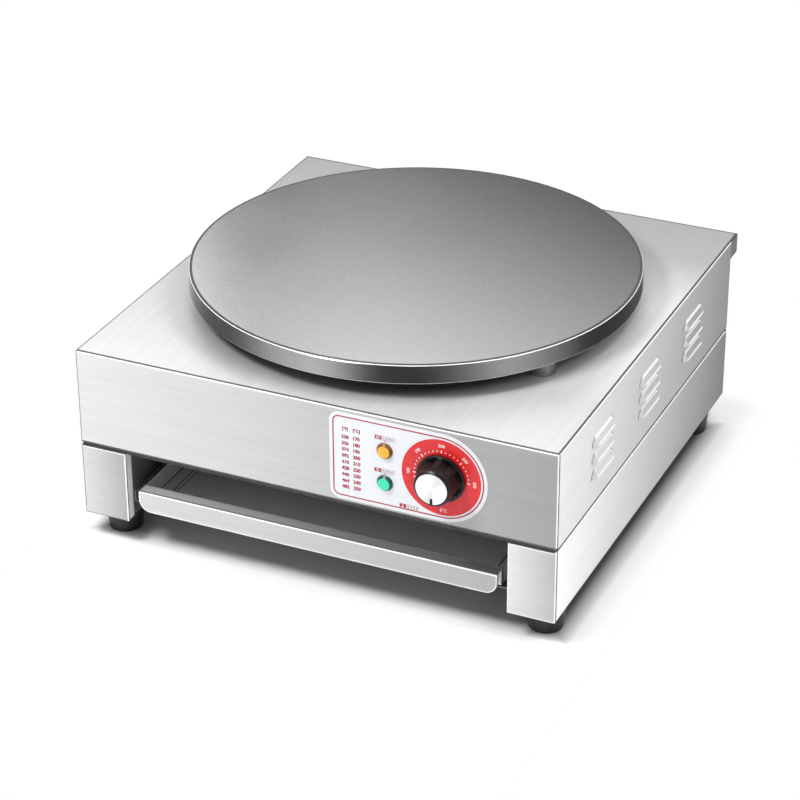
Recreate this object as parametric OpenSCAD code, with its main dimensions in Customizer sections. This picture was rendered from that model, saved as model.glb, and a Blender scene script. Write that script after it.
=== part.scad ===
// Electric crepe maker: a round cast plate on a folded hood, two side frames and a sliding tray.
// Millimetres, +X right, +Y back, +Z up. The origin is on the worktop, at the centre of the outline.

/* [Hood] */
// Width across the hood
body_w = 444; // [430:1:540]
// Depth from the fascia to the rear panel
body_d = 434; // [425:1:540]
// Height of the hood
hood_h = 90; // [86:1:120]
// Thickness of the folded sheet
sheet = 1; // [0.8:0.1:1.4]
// Outside radius of each fold
fold_r = 2; // [1.6:0.1:3]
// How far the top runs on behind the rear panel
overhang = 17; // [8:1:24]
// Height of the lip folded down behind the rear panel
rear_lip_h = 18; // [10:1:24]
// Width of the flanges folded inwards
flange_w = 14; // [13:0.5:18]

/* [Louvres] */
// Length of one louvre
louvre_len = 50; // [30:1:60]
// Height of one louvre
louvre_h = 8; // [5:0.5:11]
// How far a louvre stands out
louvre_out = 4; // [2:0.5:6]
// Distance between louvres, one above the other
louvre_pitch = 15.5; // [13:0.5:17]
// Distance between the groups of louvres
louvre_group_pitch = 113.5; // [80:0.5:125]

/* [Base] */
// Height of the base under the hood
leg_h = 70; // [66:1:100]
// Width of a front leg
leg_w = 44; // [40:1:52]
// Depth of the return behind a leg's inner edge
leg_return = 10; // [6:1:16]
// Height of the dark hem under the fascia
hem_h = 2.5; // [2:0.5:4]
// Height of a foot
foot_h = 26; // [20:1:40]
// Thickness of a foot above its screw's head
foot_seat = 14; // [8:0.5:14]
// Radius of a foot at the floor
foot_r = 15; // [12:0.5:17]
// Radius of a foot at the frame
foot_top_r = 17.5; // [15:0.5:19]
// Foot centre from the side of the base
foot_side = 21; // [20:1:24]
// Foot centre from the front and from the back of the base
foot_front = 33; // [24:1:60]

/* [Tray] */
// Height of the opening above the tray's ledge
mouth_h = 38; // [25:1:45]
// Depth of the ledge along the tray's front
ledge_d = 12.6; // [10:0.1:20]
// Height of the lip turned down from the ledge
tray_lip_h = 19.5; // [15:0.5:24]
// Radius of the lip's lower corners
tray_lip_r = 11; // [4:0.5:14]
// Length of the tray from front to back
tray_len = 395; // [300:1:400]
// Depth of the tray's walls
tray_wall = 16.5; // [10:0.5:20]
// Width of the flat band around the tray's pressed floor
tray_band = 14.5; // [12:0.5:20]
// How far the middle of the floor is pressed down
tray_press = 1.5; // [0.8:0.1:3]
// Gap between the tray and a leg
tray_side_gap = 9.5; // [7:0.5:14]
// How far the lip stands behind the fascia
tray_setback = 2.5; // [1:0.1:6]
// Clearance of the tray on its runners
tray_clear = 0.3; // [0.2:0.05:0.5]

/* [Griddle] */
// Diameter of the plate
plate_d = 400; // [360:1:420]
// Thickness of the plate's rim
plate_rim_h = 17.5; // [15:0.5:22]
// Thickness of the plate over the element
plate_skin = 7; // [5:0.5:9]
// Width of the plate's rim underneath
rim_w = 37; // [34:1:40]
// Gap between the hood and the plate's rim
plate_gap = 16; // [12:1:25]
// Support centre from the plate's edge
support_inset = 20; // [17:0.5:21]
// Radius of a support
support_r = 12; // [8:0.5:14]
// Radius of a support's stud
stud_r = 5; // [4:0.5:5]

/* [Element] */
// Diameter of the element's tube
element_d = 6.6; // [6:0.1:7]
// Element's outer turn from the wall of the recess
coil_inset = 18; // [15:1:23]
// Distance between the element's turns
coil_pitch = 30; // [26:1:32]
// Thickness of the insulation under the element
insulation_t = 2.2; // [1.5:0.1:2.4]
// Diameter of the thermostat's bulb
bulb_d = 6.4; // [5:0.1:6.4]
// Length of the thermostat's bulb
bulb_len = 80; // [50:1:86]

/* [Controls] */
// Dial centre from the middle of the fascia
dial_x = 119.5; // [110:0.5:126]
// Lamp centres from the middle of the fascia
lamp_x = 69; // [60:0.5:72]
// Height of the amber lamp above the dial centre
amber_rise = 13.7; // [12:0.1:20]
// Drop of the green lamp below the dial centre
green_drop = 16.7; // [12:0.1:20]
// Height of the control label
label_h = 82; // [80:1:84]
// Left edge of the label from the middle of the fascia
label_left = 18.5; // [5:0.5:40]
// Thickness of the label
label_t = 0.4; // [0.2:0.1:0.8]
// Radius of the knob's skirt
skirt_r = 21.5; // [20:0.5:24]
// Thickness of the knob's skirt
skirt_h = 3.5; // [3.5:0.1:5]
// Radius of the knob's grip at the skirt
grip_r = 18.6; // [18:0.1:19.4]
// Radius of the knob's grip at its front
grip_front_r = 16.3; // [15.6:0.1:17]
// Length of the knob
knob_len = 20; // [17:0.5:26]
// Radius of the bright cap on the knob
cap_r = 13.9; // [11:0.1:14.2]
// Number of flutes around the grip
flute_count = 8; // [6:1:10]
// Radius of a lamp's lens
lens_r = 7.2; // [6.8:0.1:8]
// How far a lens stands out of the label
lens_out = 3.2; // [2:0.1:5]
// Radius of a lamp's body
lamp_r = 5.5; // [4.5:0.1:6]
// Length of a lamp's body behind the fascia
lamp_len = 24; // [18:1:36]
// Radius of the thermostat's shaft
shaft_r = 3; // [2.5:0.1:3.2]
// Running clearance around the thermostat's shaft
shaft_clear = 0.05; // [0.03:0.01:0.09]
// Depth of the thermostat's body
thermostat_d = 30; // [24:1:40]
// Width and height of the thermostat's body
thermostat_w = 38; // [34:1:44]

/* [Supply] */
// Gland and terminal block from the middle, to the left as seen from the front
supply_x = 120; // [90:1:140]
// Height of the gland above the chassis plate
supply_z = 30; // [26:1:40]
// Radius of the cable hole through the gland
gland_bore_r = 5; // [3:0.5:6]
// How far the gland stands out of the rear panel
gland_out = 20; // [16:1:28]
// Distance between the gland and the bonding stud
bonding_pitch = 50; // [36:1:70]
// How far the bonding stud stands out of the rear panel
bonding_out = 15; // [12:1:20]
// Radius of the wires
wire_r = 1.6; // [1.2:0.1:1.8]

/* [Fasteners] */
// Radius of the M4 screws
m4_r = 2; // [1.8:0.05:2.2]
// Radius of the foot screws
foot_screw_r = 3; // [2.5:0.1:3.4]
// Clearance around a screw in its hole
hole_clear = 0.15; // [0.1:0.05:0.3]

/* [Hidden] */
$fn = 48;
eps = 0.5;              // how far a cut runs past a face
play = 0.05;            // radial clearance of a screw in its nut, and of what is pushed in
rest_gap = 0.2;         // clearance between sheets that lie beside each other

// Levels above the worktop
seam_z = foot_h + leg_h;
top_z = seam_z + hood_h;

// The outline runs from the knob's cap to the gland, and the origin is at its middle
label_gap = 0.6;
cap_proud = 0.2;
knob_y = -label_t - label_gap;
knob_front = knob_y - knob_len;
rear_reach = max(overhang, gland_out, bonding_out);
front_y = (knob_len + cap_proud - knob_y - body_d - rear_reach) / 2;

half_w = body_w / 2;
inner_r = fold_r - sheet;
back_y = body_d - sheet;        // where the hood's sides and the side frames end
plate_y = body_d / 2;
dial_z = hood_h / 2;

// Fasteners
m4_hole = m4_r + hole_clear;
m4_head_r = 2 * m4_r;
m4_head_h = 1.2 * m4_r;
m4_nut_af = 3.5 * m4_r;
m4_nut_h = 1.6 * m4_r;
m4_tail = 1;                    // how far a screw runs on past its nut
foot_hole = foot_screw_r + hole_clear;
foot_head_r = 1.9 * foot_screw_r;
foot_head_h = 1.3 * foot_screw_r;
foot_nut_af = 3.3 * foot_screw_r;
foot_nut_h = 1.7 * foot_screw_r;
foot_bore_r = foot_head_r + 1.3;
foot_bore_h = foot_h - foot_seat;
foot_edge = 1.2;
frame_screw_x = half_w - flange_w / 2 - sheet / 2;
frame_screw_inset = 62;
frame_screw_count = 4;
panel_screw_inset = 14;         // of the rear panel's screws, from the ends of the hood's flanges
function spread(n, a, b) = [for (i = [0:n - 1]) a + (b - a) * i / (n - 1)];
frame_screw_ys = spread(frame_screw_count, frame_screw_inset, body_d - frame_screw_inset);
panel_screw_zs = spread(3, panel_screw_inset, hood_h - rear_lip_h - panel_screw_inset);

// Louvres
louvre_ahead = 4;               // the middle group's centre, ahead of the plate's
louvre_rise = 1;                // the middle row's centre, above the dial's

// Rear panel and chassis plate
panel_half = half_w - fold_r - rest_gap;
rear_flange_half = half_w - flange_w - rest_gap;
rear_screw_inset = 40;
rear_flange_xs = spread(3, -rear_flange_half + rear_screw_inset, rear_flange_half - rear_screw_inset);
rear_flange_y = body_d - sheet - flange_w / 2;

// Side frames and the panels inside them
hem_gap = 0.3;                          // under the hem, to the legs' faces
web_flange_gap = 8;                     // from the inner panel's lower flange to the side's fold
web_x = half_w - leg_w + sheet;         // inner face of the inner panel
web_screw_x = web_x + sheet + flange_w / 2;
web_screw_ys = spread(3, frame_screw_inset, body_d - frame_screw_inset);
web_flange_w = leg_w - sheet - fold_r - web_flange_gap;
foot_x = half_w - foot_side;
foot_ys = [foot_front, body_d - foot_front];

// Tray
tray_half = half_w - leg_w - tray_side_gap;
ledge_z = -mouth_h;
band_z = ledge_z - tray_wall;           // top of the flat band
floor_z = band_z - tray_press;          // top of the pressed floor
tray_front = tray_setback;
pan_front = tray_front + ledge_d - sheet;
tray_back = tray_front + tray_len;
press_half = tray_half - tray_band;
tray_corner_r = 4;

// Runners
shelf_z = band_z - sheet - tray_clear;  // top of the shelf
shelf_gap = 1.2;                        // beside the pressed floor
shelf_in = press_half + sheet + shelf_gap;
runner_leg = 11;
runner_front_gap = 4;                   // behind the legs' returns
runner_front = leg_return + runner_front_gap;
runner_back = tray_back + tray_clear + sheet;
runner_stop_h = 10;
rivet_r = 2;
rivet_head_h = 1.4;
rivet_inset = 30;
rivet_z = shelf_z - sheet + runner_leg / 2;
rivet_ys = spread(3, runner_front + rivet_inset, runner_back - rivet_inset);

// Griddle, measured from the hood's top at the plate's centre
recess_r = plate_d / 2 - rim_w;
recess_top = plate_gap + plate_rim_h - plate_skin;
support_circle = plate_d / 2 - support_inset;
coil_r = recess_r - coil_inset;
element_gap = 0.3;                      // between the tube and the plate, and all round a joint
element_z = recess_top - element_gap - element_d / 2;
cover_top = element_z - element_d / 2 - element_gap - insulation_t;
cover_bottom = cover_top - sheet;
plate_edge = 1.2;
support_angles = [210, -30, 90];
support_hole_depth = 8;
support_tip_gap = 1;                    // above a stud, in its hole
support_below = sheet + 12;
washer_t = 1.5;
turns = 4;
coil_gap = 40;                          // angle left free between the ends of a turn
coil_start = -70;
coil_end = coil_start + 360 - coil_gap;
lead_bend = 8;
lead_down = 14;                         // how far a lead runs on below the hood's top
bush_r = 7;
bush_h = 8;
cover_screw_circle = coil_r - 1.5 * coil_pitch;
cover_screw_angles = [30, 150, 270];
cover_screw_len = 9;
cover_tip_gap = 1;                      // above a cover screw, in its boss
boss_r = 6;
cover_gap = 2;                          // around the cover, to the rim
cover_r = recess_r - cover_gap;
lead_hole = element_d / 2 + 2.4;        // wide enough for the lead's bend
joint_len = 3;
bulb_angle = -20;
bulb_inset = 3;                         // the bulb's middle, inside the middle between two turns
bulb_r_mid = coil_r - coil_pitch / 2 - bulb_inset;

function polar(r, a) = [r * cos(a), r * sin(a)];
function lead_at(r) = polar(r, coil_start) + lead_bend * [sin(coil_start), -cos(coil_start)];
lead_places = [lead_at(coil_r), lead_at(coil_r - (turns - 1) * coil_pitch)];

// Thermostat, lamps and their screws
screw_pitch = 28;                       // between the thermostat's two screws
m3_r = 1.5;
m3_head_r = 2.75;
m3_head_h = 2.2;
m3_depth = 6;
m3_in = m3_depth - 1;                   // how far a screw goes into the thermostat
shaft_in = 12;
shaft_hole = 5;
shaft_tip_gap = 1;
shaft_flat = 0.55 * shaft_r;            // from the shaft's axis to its flat
shaft_seat = 5;                         // knob left over the shaft's end
hub_r = 6;
skirt_hollow = 3;
knob_edge = 0.6;
knob_nose = 1.2;                        // bevel around the grip's front
flute_r = 9;
flute_depth = 1.7;
flute_land = 3;                         // grip left plain in front of the flutes
cap_seat = 1;
notch_w = 1.5;
notch_in = 4.5;
lamp_zs = [dial_z + amber_rise, dial_z - green_drop];
lamp_hole = lamp_r + 0.2;
lamp_nut_af = 2.5 * lamp_r;
lamp_nut_h = 3;
lamp_wall = 1.2;
lens_seat = 4;                          // depth of the lamp's hollow
lens_in = 3;                            // how far the lens goes into it
lens_step = 0.8;
lens_bevel = 2;
lamp_tab = 6;                           // length of a lamp's tabs
lamp_tab_x = 2.6;
lamp_wire_r = 0.6 * wire_r;
lamp_back = sheet + lamp_len + lamp_tab;
thermostat_back = sheet + thermostat_d;
capillary_r = 1.2;
capillary_out = 14;                     // from the bulb's end to where it turns down
capillary_drop = 4;
capillary_by = [20, -10, 12];
capillary_x = 8;
capillary_back = 26;
capillary_hole = 4;
capillary_way = 7;                      // radius of its way through the cover and the insulation
bulb_side = [sin(bulb_angle), -cos(bulb_angle)];
bulb_end = polar(bulb_r_mid, bulb_angle) + bulb_side * bulb_len / 2;
capillary_at = bulb_end + bulb_side * capillary_out;

// Supply
block_size = [50, 24, 20];
block_y = body_d - 62;
block_end = 5;                          // from the block's ends to its fixing holes
block_hole_x = block_size.x / 2 - block_end;
way_pitch = 11;
way_z = 9;
way_r = 2.6;
way_depth = 6;                          // how far a wire goes into a clamp
clamp_in = 3;                           // from the block's faces to the clamps' ends
clamp_screw_r = 1.5;
clamp_screw_h = 6;
gland_flange_r = 12;
gland_thread_r = 10;
gland_flange_t = 5;
gland_in = 12;                          // how far the gland runs on behind the panel
gland_neck_r = gland_thread_r - 2;
gland_neck = gland_out - 7;
gland_nut_h = 5;
stud5_r = 2.5;
stud5_nut_af = 8;
stud5_nut_h = 4;
bonding_in = 16;
bonding_x = -supply_x + bonding_pitch;

// Wires, each with the points that it passes between its ends
way_out = [0, -26, 0];                  // straight out of the terminal block
live_route = [[-90, 250, 8], [20, 130, 8]];
neutral_route = [[-60, 280, 14], [-10, 200, 30]];
lamp_wire_side = 24;                    // the lamps' wires, beside the dial
lamp_wire_back = 18;                    // and behind the thermostat
lamp_wire_z = 16;                       // and above and below its shaft
wire_out = 14;                          // how far a wire runs straight out of a terminal
lamp_wire_out = 10;
element_wire_by = [16, -18, -26];       // a point of the element's wire, from the lead's end
earth_by = [-4, -20, -12];              // a point of the earth wire, from its stud and block
neutral_lamp_by = [-10, 16, 0];
tabs_x = 12;                            // the thermostat's terminals, from its shaft
tabs_z = [10, 13];

// ---- Frames of reference ----

// x across, y back from the fascia, z up from the seam under the hood
module at_seam() translate([0, front_y, seam_z]) children();

// x and y from the plate's centre, z up from the hood's top
module at_plate() translate([0, front_y + plate_y, top_z]) children();

// Along the fascia: x across, y up from the seam, z out of the fascia towards the cook
module on_fascia() at_seam() rotate([90, 0, 0]) children();

// A vertical axis at one place on the rear panel, z pointing out of it
module on_rear(x, z) at_seam() translate([x, body_d, z]) rotate([-90, 0, 0]) children();

// ---- Shapes ----

function arc(c, r, a0, a1, n = 6) = r <= 0 ? [c]
    : [for (i = [0:n]) c + polar(r, a0 + (a1 - a0) * i / n)];

// A rectangle with its own radius at the low-left, low-right, high-right and high-left corners
function round_rect(lo, hi, r, n = 6) = let (k = is_list(r) ? r : [r, r, r, r]) concat(
    arc([hi.x - k[2], hi.y - k[2]], k[2], 0, 90, n),
    arc([lo.x + k[3], hi.y - k[3]], k[3], 90, 180, n),
    arc([lo.x + k[0], lo.y + k[0]], k[0], 180, 270, n),
    arc([hi.x - k[1], lo.y + k[1]], k[1], 270, 360, n));

module block(lo, hi) translate(lo) cube(hi - lo);

module along_x(x0, x1) translate([x0, 0, 0]) rotate([90, 0, 90]) linear_extrude(x1 - x0) children();

module along_y(y0, y1) translate([0, y1, 0]) rotate([90, 0, 0]) linear_extrude(y1 - y0) children();

module along_z(z0, z1) translate([0, 0, z0]) linear_extrude(z1 - z0) children();

// A block whose edges along X, Y and Z are folded to the radii rx, ry and rz
module folded_block(lo, hi, rx = 0, ry = 0, rz = 0) {
    intersection() {
        along_x(lo.x, hi.x) polygon(round_rect([lo.y, lo.z], [hi.y, hi.z], rx));
        along_y(lo.y, hi.y) polygon(round_rect([lo.x, lo.z], [hi.x, hi.z], ry));
        along_z(lo.z, hi.z) polygon(round_rect([lo.x, lo.y], [hi.x, hi.y], rz));
    }
}

module mirrored() {
    children();
    mirror([1, 0, 0]) children();
}

module hole(r, h) translate([0, 0, -eps]) cylinder(r = r, h = h + 2 * eps);

// A pan-head screw along +Z, with its head under the origin and a crossed recess in it
module screw(r, head_r, head_h, len) {
    slot = 0.3 * r;
    difference() {
        union() {
            translate([0, 0, -head_h]) cylinder(r = head_r, h = head_h);
            cylinder(r = r, h = len);
        }
        translate([0, 0, -head_h]) {
            block([-head_r / 2, -slot, -eps], [head_r / 2, slot, head_h / 2]);
            block([-slot, -head_r / 2, -eps], [slot, head_r / 2, head_h / 2]);
        }
    }
}

module nut(af, h, bore_r) {
    difference() {
        cylinder(r = af / sqrt(3), h = h, $fn = 6);
        hole(bore_r, h);
    }
}

module m4_screw(grip) screw(m4_r, m4_head_r, m4_head_h, grip + m4_nut_h + m4_tail);

module m4_nut() nut(m4_nut_af, m4_nut_h, m4_r + play);

// Points between the four points p, a share t of the way from the second to the third
function blend(p, t) = 0.5 * (2 * p[1] + (p[2] - p[0]) * t
    + (2 * p[0] - 5 * p[1] + 4 * p[2] - p[3]) * pow(t, 2)
    + (3 * p[1] - p[0] - 3 * p[2] + p[3]) * pow(t, 3));

function near(p, i) = p[min(max(i, 0), len(p) - 1)];

function smooth(p, n) = concat(
    [for (i = [0:len(p) - 2], k = [0:n - 1])
        blend([near(p, i - 1), p[i], p[i + 1], near(p, i + 2)], k / n)],
    [p[len(p) - 1]]);

function ring(c, dir, r, n) = let (
    u = cross(dir, [0.31, 0.52, 0.79]), a = u / norm(u), b = cross(dir, a) / norm(dir))
    [for (k = [0:n - 1]) c + r * (a * cos(360 * k / n) + b * sin(360 * k / n))];

// A round wire or pipe that runs smoothly through the points of a route
module wire(route, r, steps = 3, sides = 8) {
    path = smooth(route, steps);
    last = len(path) - 1;
    rings = [for (i = [0:last]) each ring(path[i], near(path, i + 1) - near(path, i - 1), r, sides)];
    polyhedron(rings, concat(
        [[for (k = [0:sides - 1]) k]],
        [for (i = [0:last - 1], k = [0:sides - 1]) let (
            m = (k + 1) % sides, a = i * sides, b = a + sides)
            each [[a + k, b + k, b + m], [a + k, b + m, a + m]]],
        [[for (k = [sides - 1:-1:0]) last * sides + k]]));
}

// ---- Hood ----

// One louvre in its own frame: x along it, y up from its open mouth, z out of the sheet
module louvre_form(len, h, out, under) {
    dome = [for (i = [0:4]) let (v = 1 - i / 4) [h * v, out * (1 - v * v)]];
    profile = concat([[0, -under], [h, -under]], dome);
    translate([-len / 2 + h, 0, 0]) rotate([90, 0, 90]) linear_extrude(len - 2 * h) polygon(profile);
    translate([len / 2 - h, 0, 0]) rotate_extrude(angle = 90) polygon(profile);
    translate([-len / 2 + h, 0, 0]) rotate([0, 0, 90]) rotate_extrude(angle = 90) polygon(profile);
}

module at_louvres() {
    mirrored() {
        for (group = [-1:1], row = [-1:1]) {
            y = plate_y - louvre_ahead + group * louvre_group_pitch;
            z = dial_z + louvre_rise + row * louvre_pitch;
            translate([half_w, y, z - louvre_h / 2]) rotate([90, 0, 90]) children();
        }
    }
}

module hood_outside() {
    folded_block([-half_w, 0, 0], [half_w, back_y, hood_h], fold_r, fold_r, fold_r);
    folded_block([-half_w, back_y - overhang, hood_h - rear_lip_h],
        [half_w, body_d + overhang, hood_h], [0, 0, fold_r, 0], [0, 0, fold_r, fold_r],
        [0, 0, fold_r, fold_r]);
    at_louvres() louvre_form(louvre_len, louvre_h, louvre_out, sheet / 2);
}

module hood_inside() {
    wall_x = half_w - sheet;
    folded_block([-wall_x, sheet, sheet], [wall_x, back_y - sheet, hood_h - sheet],
        inner_r, inner_r, inner_r);
    folded_block([-wall_x, back_y - overhang, hood_h - rear_lip_h - eps],
        [wall_x, body_d + overhang - sheet, hood_h - sheet], [0, 0, inner_r, 0],
        [0, 0, inner_r, inner_r], [0, 0, inner_r, inner_r]);
    // Open between the flanges, below and at the rear
    open_x = half_w - flange_w;
    block([-open_x, flange_w, -eps], [open_x, body_d, sheet + eps]);
    block([-open_x, back_y - sheet - eps, -eps], [open_x, back_y + eps, hood_h - rear_lip_h]);
    at_louvres() louvre_form(louvre_len - 2 * sheet, louvre_h - sheet, louvre_out - sheet, 2 * sheet);
}

module hood_holes() {
    on_panel_holes() hole(m4_hole, sheet);
    for (x = [-1, 1], y = frame_screw_ys) {
        translate([x * frame_screw_x, y, 0]) hole(m4_hole, sheet);
    }
    translate([0, plate_y, hood_h - sheet]) {
        for (a = support_angles) translate(polar(support_circle, a)) hole(stud_r + hole_clear, sheet);
        for (p = lead_places) translate(p) hole(bush_r, sheet);
        translate(capillary_at) hole(capillary_hole, sheet);
    }
}

// The rear panel's screws through the hood's rear flanges, z pointing forwards from the flange's back
module on_panel_holes() {
    for (x = [-1, 1], z = panel_screw_zs) {
        translate([x * frame_screw_x, back_y, z]) rotate([90, 0, 0]) children();
    }
}
module fascia_holes() {
    translate([dial_x, dial_z, -sheet]) {
        hole(shaft_hole, sheet);
        for (s = [-1, 1]) translate([s * screw_pitch / 2, 0, 0]) hole(m3_r + hole_clear, sheet);
    }
    for (z = lamp_zs) translate([lamp_x, z, -sheet]) hole(lamp_hole, sheet);
}

module hood() {
    color("silver") at_seam() difference() {
        hood_outside();
        hood_inside();
        hood_holes();
        rotate([90, 0, 0]) fascia_holes();
    }
}

// ---- Rear panel and chassis plate ----

module rear_panel() {
    color("gainsboro") at_seam() difference() {
        union() {
            block([-panel_half, back_y, 0], [panel_half, body_d, hood_h - sheet - rest_gap]);
            block([-rear_flange_half, back_y - flange_w, 0], [rear_flange_half, body_d, sheet]);
        }
        translate([0, sheet, 0]) on_panel_holes() hole(m4_hole, sheet);
        for (x = rear_flange_xs) translate([x, rear_flange_y, 0]) hole(m4_hole, sheet);
        translate([-supply_x, body_d, supply_z]) rotate([90, 0, 0])
            hole(gland_thread_r + hole_clear, sheet);
        translate([bonding_x, body_d, supply_z]) rotate([90, 0, 0]) hole(stud5_r + hole_clear, sheet);
    }
}

module chassis_plate() {
    color("darkgray") at_seam() difference() {
        union() {
            block([-panel_half, sheet, -sheet], [panel_half, back_y, 0]);
            block([-panel_half, sheet, -hem_h], [panel_half, 2 * sheet, 0]);
        }
        for (x = [-1, 1], y = frame_screw_ys) {
            translate([x * frame_screw_x, y, -sheet]) hole(m4_hole, sheet);
        }
        for (x = [-1, 1], y = web_screw_ys) {
            translate([x * web_screw_x, y, -sheet]) hole(m4_hole, sheet);
        }
        for (x = rear_flange_xs) translate([x, rear_flange_y, -sheet]) hole(m4_hole, sheet);
        for (s = [-1, 1]) {
            translate([-supply_x + s * block_hole_x, block_y, -sheet]) hole(m4_hole, sheet);
        }
    }
}

// ---- Side frames ----

module right_side_frame() {
    leg_top = -hem_h - hem_gap;
    inner_x = half_w - leg_w;
    color("silver") at_seam() difference() {
        folded_block([inner_x, 0, -leg_h], [half_w, back_y, -sheet], 0, [0, fold_r, fold_r, 0], fold_r);
        folded_block([inner_x + sheet, sheet, -leg_h + sheet], [half_w - sheet, back_y - sheet, -2 * sheet],
            0, [0, inner_r, inner_r, 0], inner_r);
        // Open between the returns, and above beside the top flange
        block([inner_x - eps, leg_return, -leg_h + sheet], [inner_x + sheet + eps, back_y - leg_return, 0]);
        block([inner_x - eps, -eps, -2 * sheet - eps], [half_w - flange_w, back_y + eps, 0]);
        // The legs' faces stop under the hem
        block([inner_x - eps, -eps, leg_top], [half_w - fold_r, 3 * sheet, 0]);
        for (y = frame_screw_ys) translate([frame_screw_x, y, -2 * sheet]) hole(m4_hole, sheet);
        for (y = foot_ys) translate([foot_x, y, -leg_h]) hole(foot_hole, sheet);
    }
}

module left_side_frame() mirror([1, 0, 0]) right_side_frame();

module right_inner_panel() {
    front = fold_r + rest_gap;
    back = back_y - fold_r - rest_gap;
    low = -leg_h + sheet;
    color("gray") at_seam() difference() {
        union() {
            block([web_x, front, low], [web_x + sheet, back, -sheet]);
            block([web_x, front, low], [web_x + web_flange_w, back, low + sheet]);
            block([web_x, 3 * sheet, -2 * sheet], [web_x + sheet + flange_w, back, -sheet]);
        }
        // Clear of the hem under the fascia
        block([web_x - eps, 0, -hem_h - hem_gap], [half_w, 3 * sheet, 0]);
        for (y = web_screw_ys) translate([web_screw_x, y, -2 * sheet]) hole(m4_hole, sheet);
        for (y = foot_ys) translate([foot_x, y, low]) hole(foot_hole, sheet);
        at_rivets() hole(rivet_r + play, sheet);
    }
}

module left_inner_panel() mirror([1, 0, 0]) right_inner_panel();

// ---- Runners ----

// z pointing out through the inner panel, from its inner face
module at_rivets() {
    for (y = rivet_ys) translate([web_x, y, rivet_z]) rotate([0, 90, 0]) children();
}

module right_runner() {
    wall = web_x - sheet;
    low = shelf_z - sheet;
    color("darkgray") at_seam() difference() {
        union() {
            block([wall, runner_front, low], [web_x, runner_back, low + runner_leg]);
            block([shelf_in, runner_front, low], [web_x, runner_back, shelf_z]);
            block([shelf_in, runner_back - sheet, low],
                [tray_half, runner_back, shelf_z + runner_stop_h]);
        }
        at_rivets() translate([0, 0, -sheet]) hole(rivet_r + play, sheet);
    }
}

module left_runner() mirror([1, 0, 0]) right_runner();

module runner_rivets() {
    color("lightgray") at_seam() mirrored() at_rivets() {
        translate([0, 0, -sheet]) cylinder(r = rivet_r, h = 2 * sheet);
        translate([0, 0, -sheet - rivet_head_h])
            cylinder(r1 = rivet_r, r2 = 1.8 * rivet_r, h = rivet_head_h);
        translate([0, 0, sheet]) cylinder(r1 = 1.6 * rivet_r, r2 = rivet_r, h = rivet_head_h);
    }
}

// ---- Fasteners of the body ----

module hood_screws() {
    color("lightgray") at_seam() for (x = [-1, 1], y = frame_screw_ys) {
        translate([x * frame_screw_x, y, -2 * sheet]) m4_screw(3 * sheet);
    }
}

module inner_panel_screws() {
    color("lightgray") at_seam() for (x = [-1, 1], y = web_screw_ys) {
        translate([x * web_screw_x, y, -2 * sheet]) m4_screw(2 * sheet);
    }
}

module frame_nuts() {
    color("lightgray") at_seam() for (x = [-1, 1]) {
        for (y = frame_screw_ys) translate([x * frame_screw_x, y, sheet]) m4_nut();
        for (y = web_screw_ys) translate([x * web_screw_x, y, 0]) m4_nut();
    }
}

module rear_panel_screws() {
    color("lightgray") at_seam() {
        translate([0, sheet, 0]) on_panel_holes() m4_screw(2 * sheet);
        for (x = rear_flange_xs) translate([x, rear_flange_y, -sheet]) m4_screw(2 * sheet);
    }
}

module rear_panel_nuts() {
    color("lightgray") at_seam() {
        translate([0, -sheet, 0]) on_panel_holes() m4_nut();
        for (x = rear_flange_xs) translate([x, rear_flange_y, sheet]) m4_nut();
    }
}

// ---- Feet ----

// x is -1 at the left and 1 at the right, end is 0 at the front and 1 at the back
module at_foot(x, end) translate([x * foot_x, front_y + foot_ys[end], 0]) children();

module at_feet() for (x = [-1, 1], end = [0, 1]) at_foot(x, end) children();

module foot() {
    color("dimgray") rotate_extrude() polygon([
        [foot_bore_r, 0], [foot_r - foot_edge, 0], [foot_r, foot_edge],
        [foot_top_r, foot_h - foot_edge], [foot_top_r - foot_edge, foot_h],
        [foot_hole, foot_h], [foot_hole, foot_bore_h], [foot_bore_r, foot_bore_h]]);
}

module front_left_foot() at_foot(-1, 0) foot();

module front_right_foot() at_foot(1, 0) foot();

module rear_left_foot() at_foot(-1, 1) foot();

module rear_right_foot() at_foot(1, 1) foot();

module foot_screws() {
    grip = foot_h - foot_bore_h + 2 * sheet;
    color("lightgray") at_feet() translate([0, 0, foot_bore_h])
        screw(foot_screw_r, foot_head_r, foot_head_h, grip + foot_nut_h + m4_tail);
}

module foot_nuts() {
    color("lightgray") at_feet() translate([0, 0, foot_h + 2 * sheet])
        nut(foot_nut_af, foot_nut_h, foot_screw_r + play);
}

// ---- Tray ----

module tray_lip() {
    intersection() {
        difference() {
            folded_block([-tray_half, tray_front, ledge_z - tray_lip_h],
                [tray_half, pan_front + sheet, ledge_z], [0, 0, 0, fold_r]);
            folded_block([-tray_half - eps, tray_front + sheet, ledge_z - tray_lip_h - eps],
                [tray_half + eps, pan_front + sheet + eps, ledge_z - sheet], [0, 0, 0, inner_r]);
        }
        along_y(0, pan_front + 2 * sheet) polygon(round_rect([-tray_half, ledge_z - tray_lip_h],
            [tray_half, ledge_z], [tray_lip_r, tray_lip_r, 0, 0], 12));
    }
}

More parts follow.
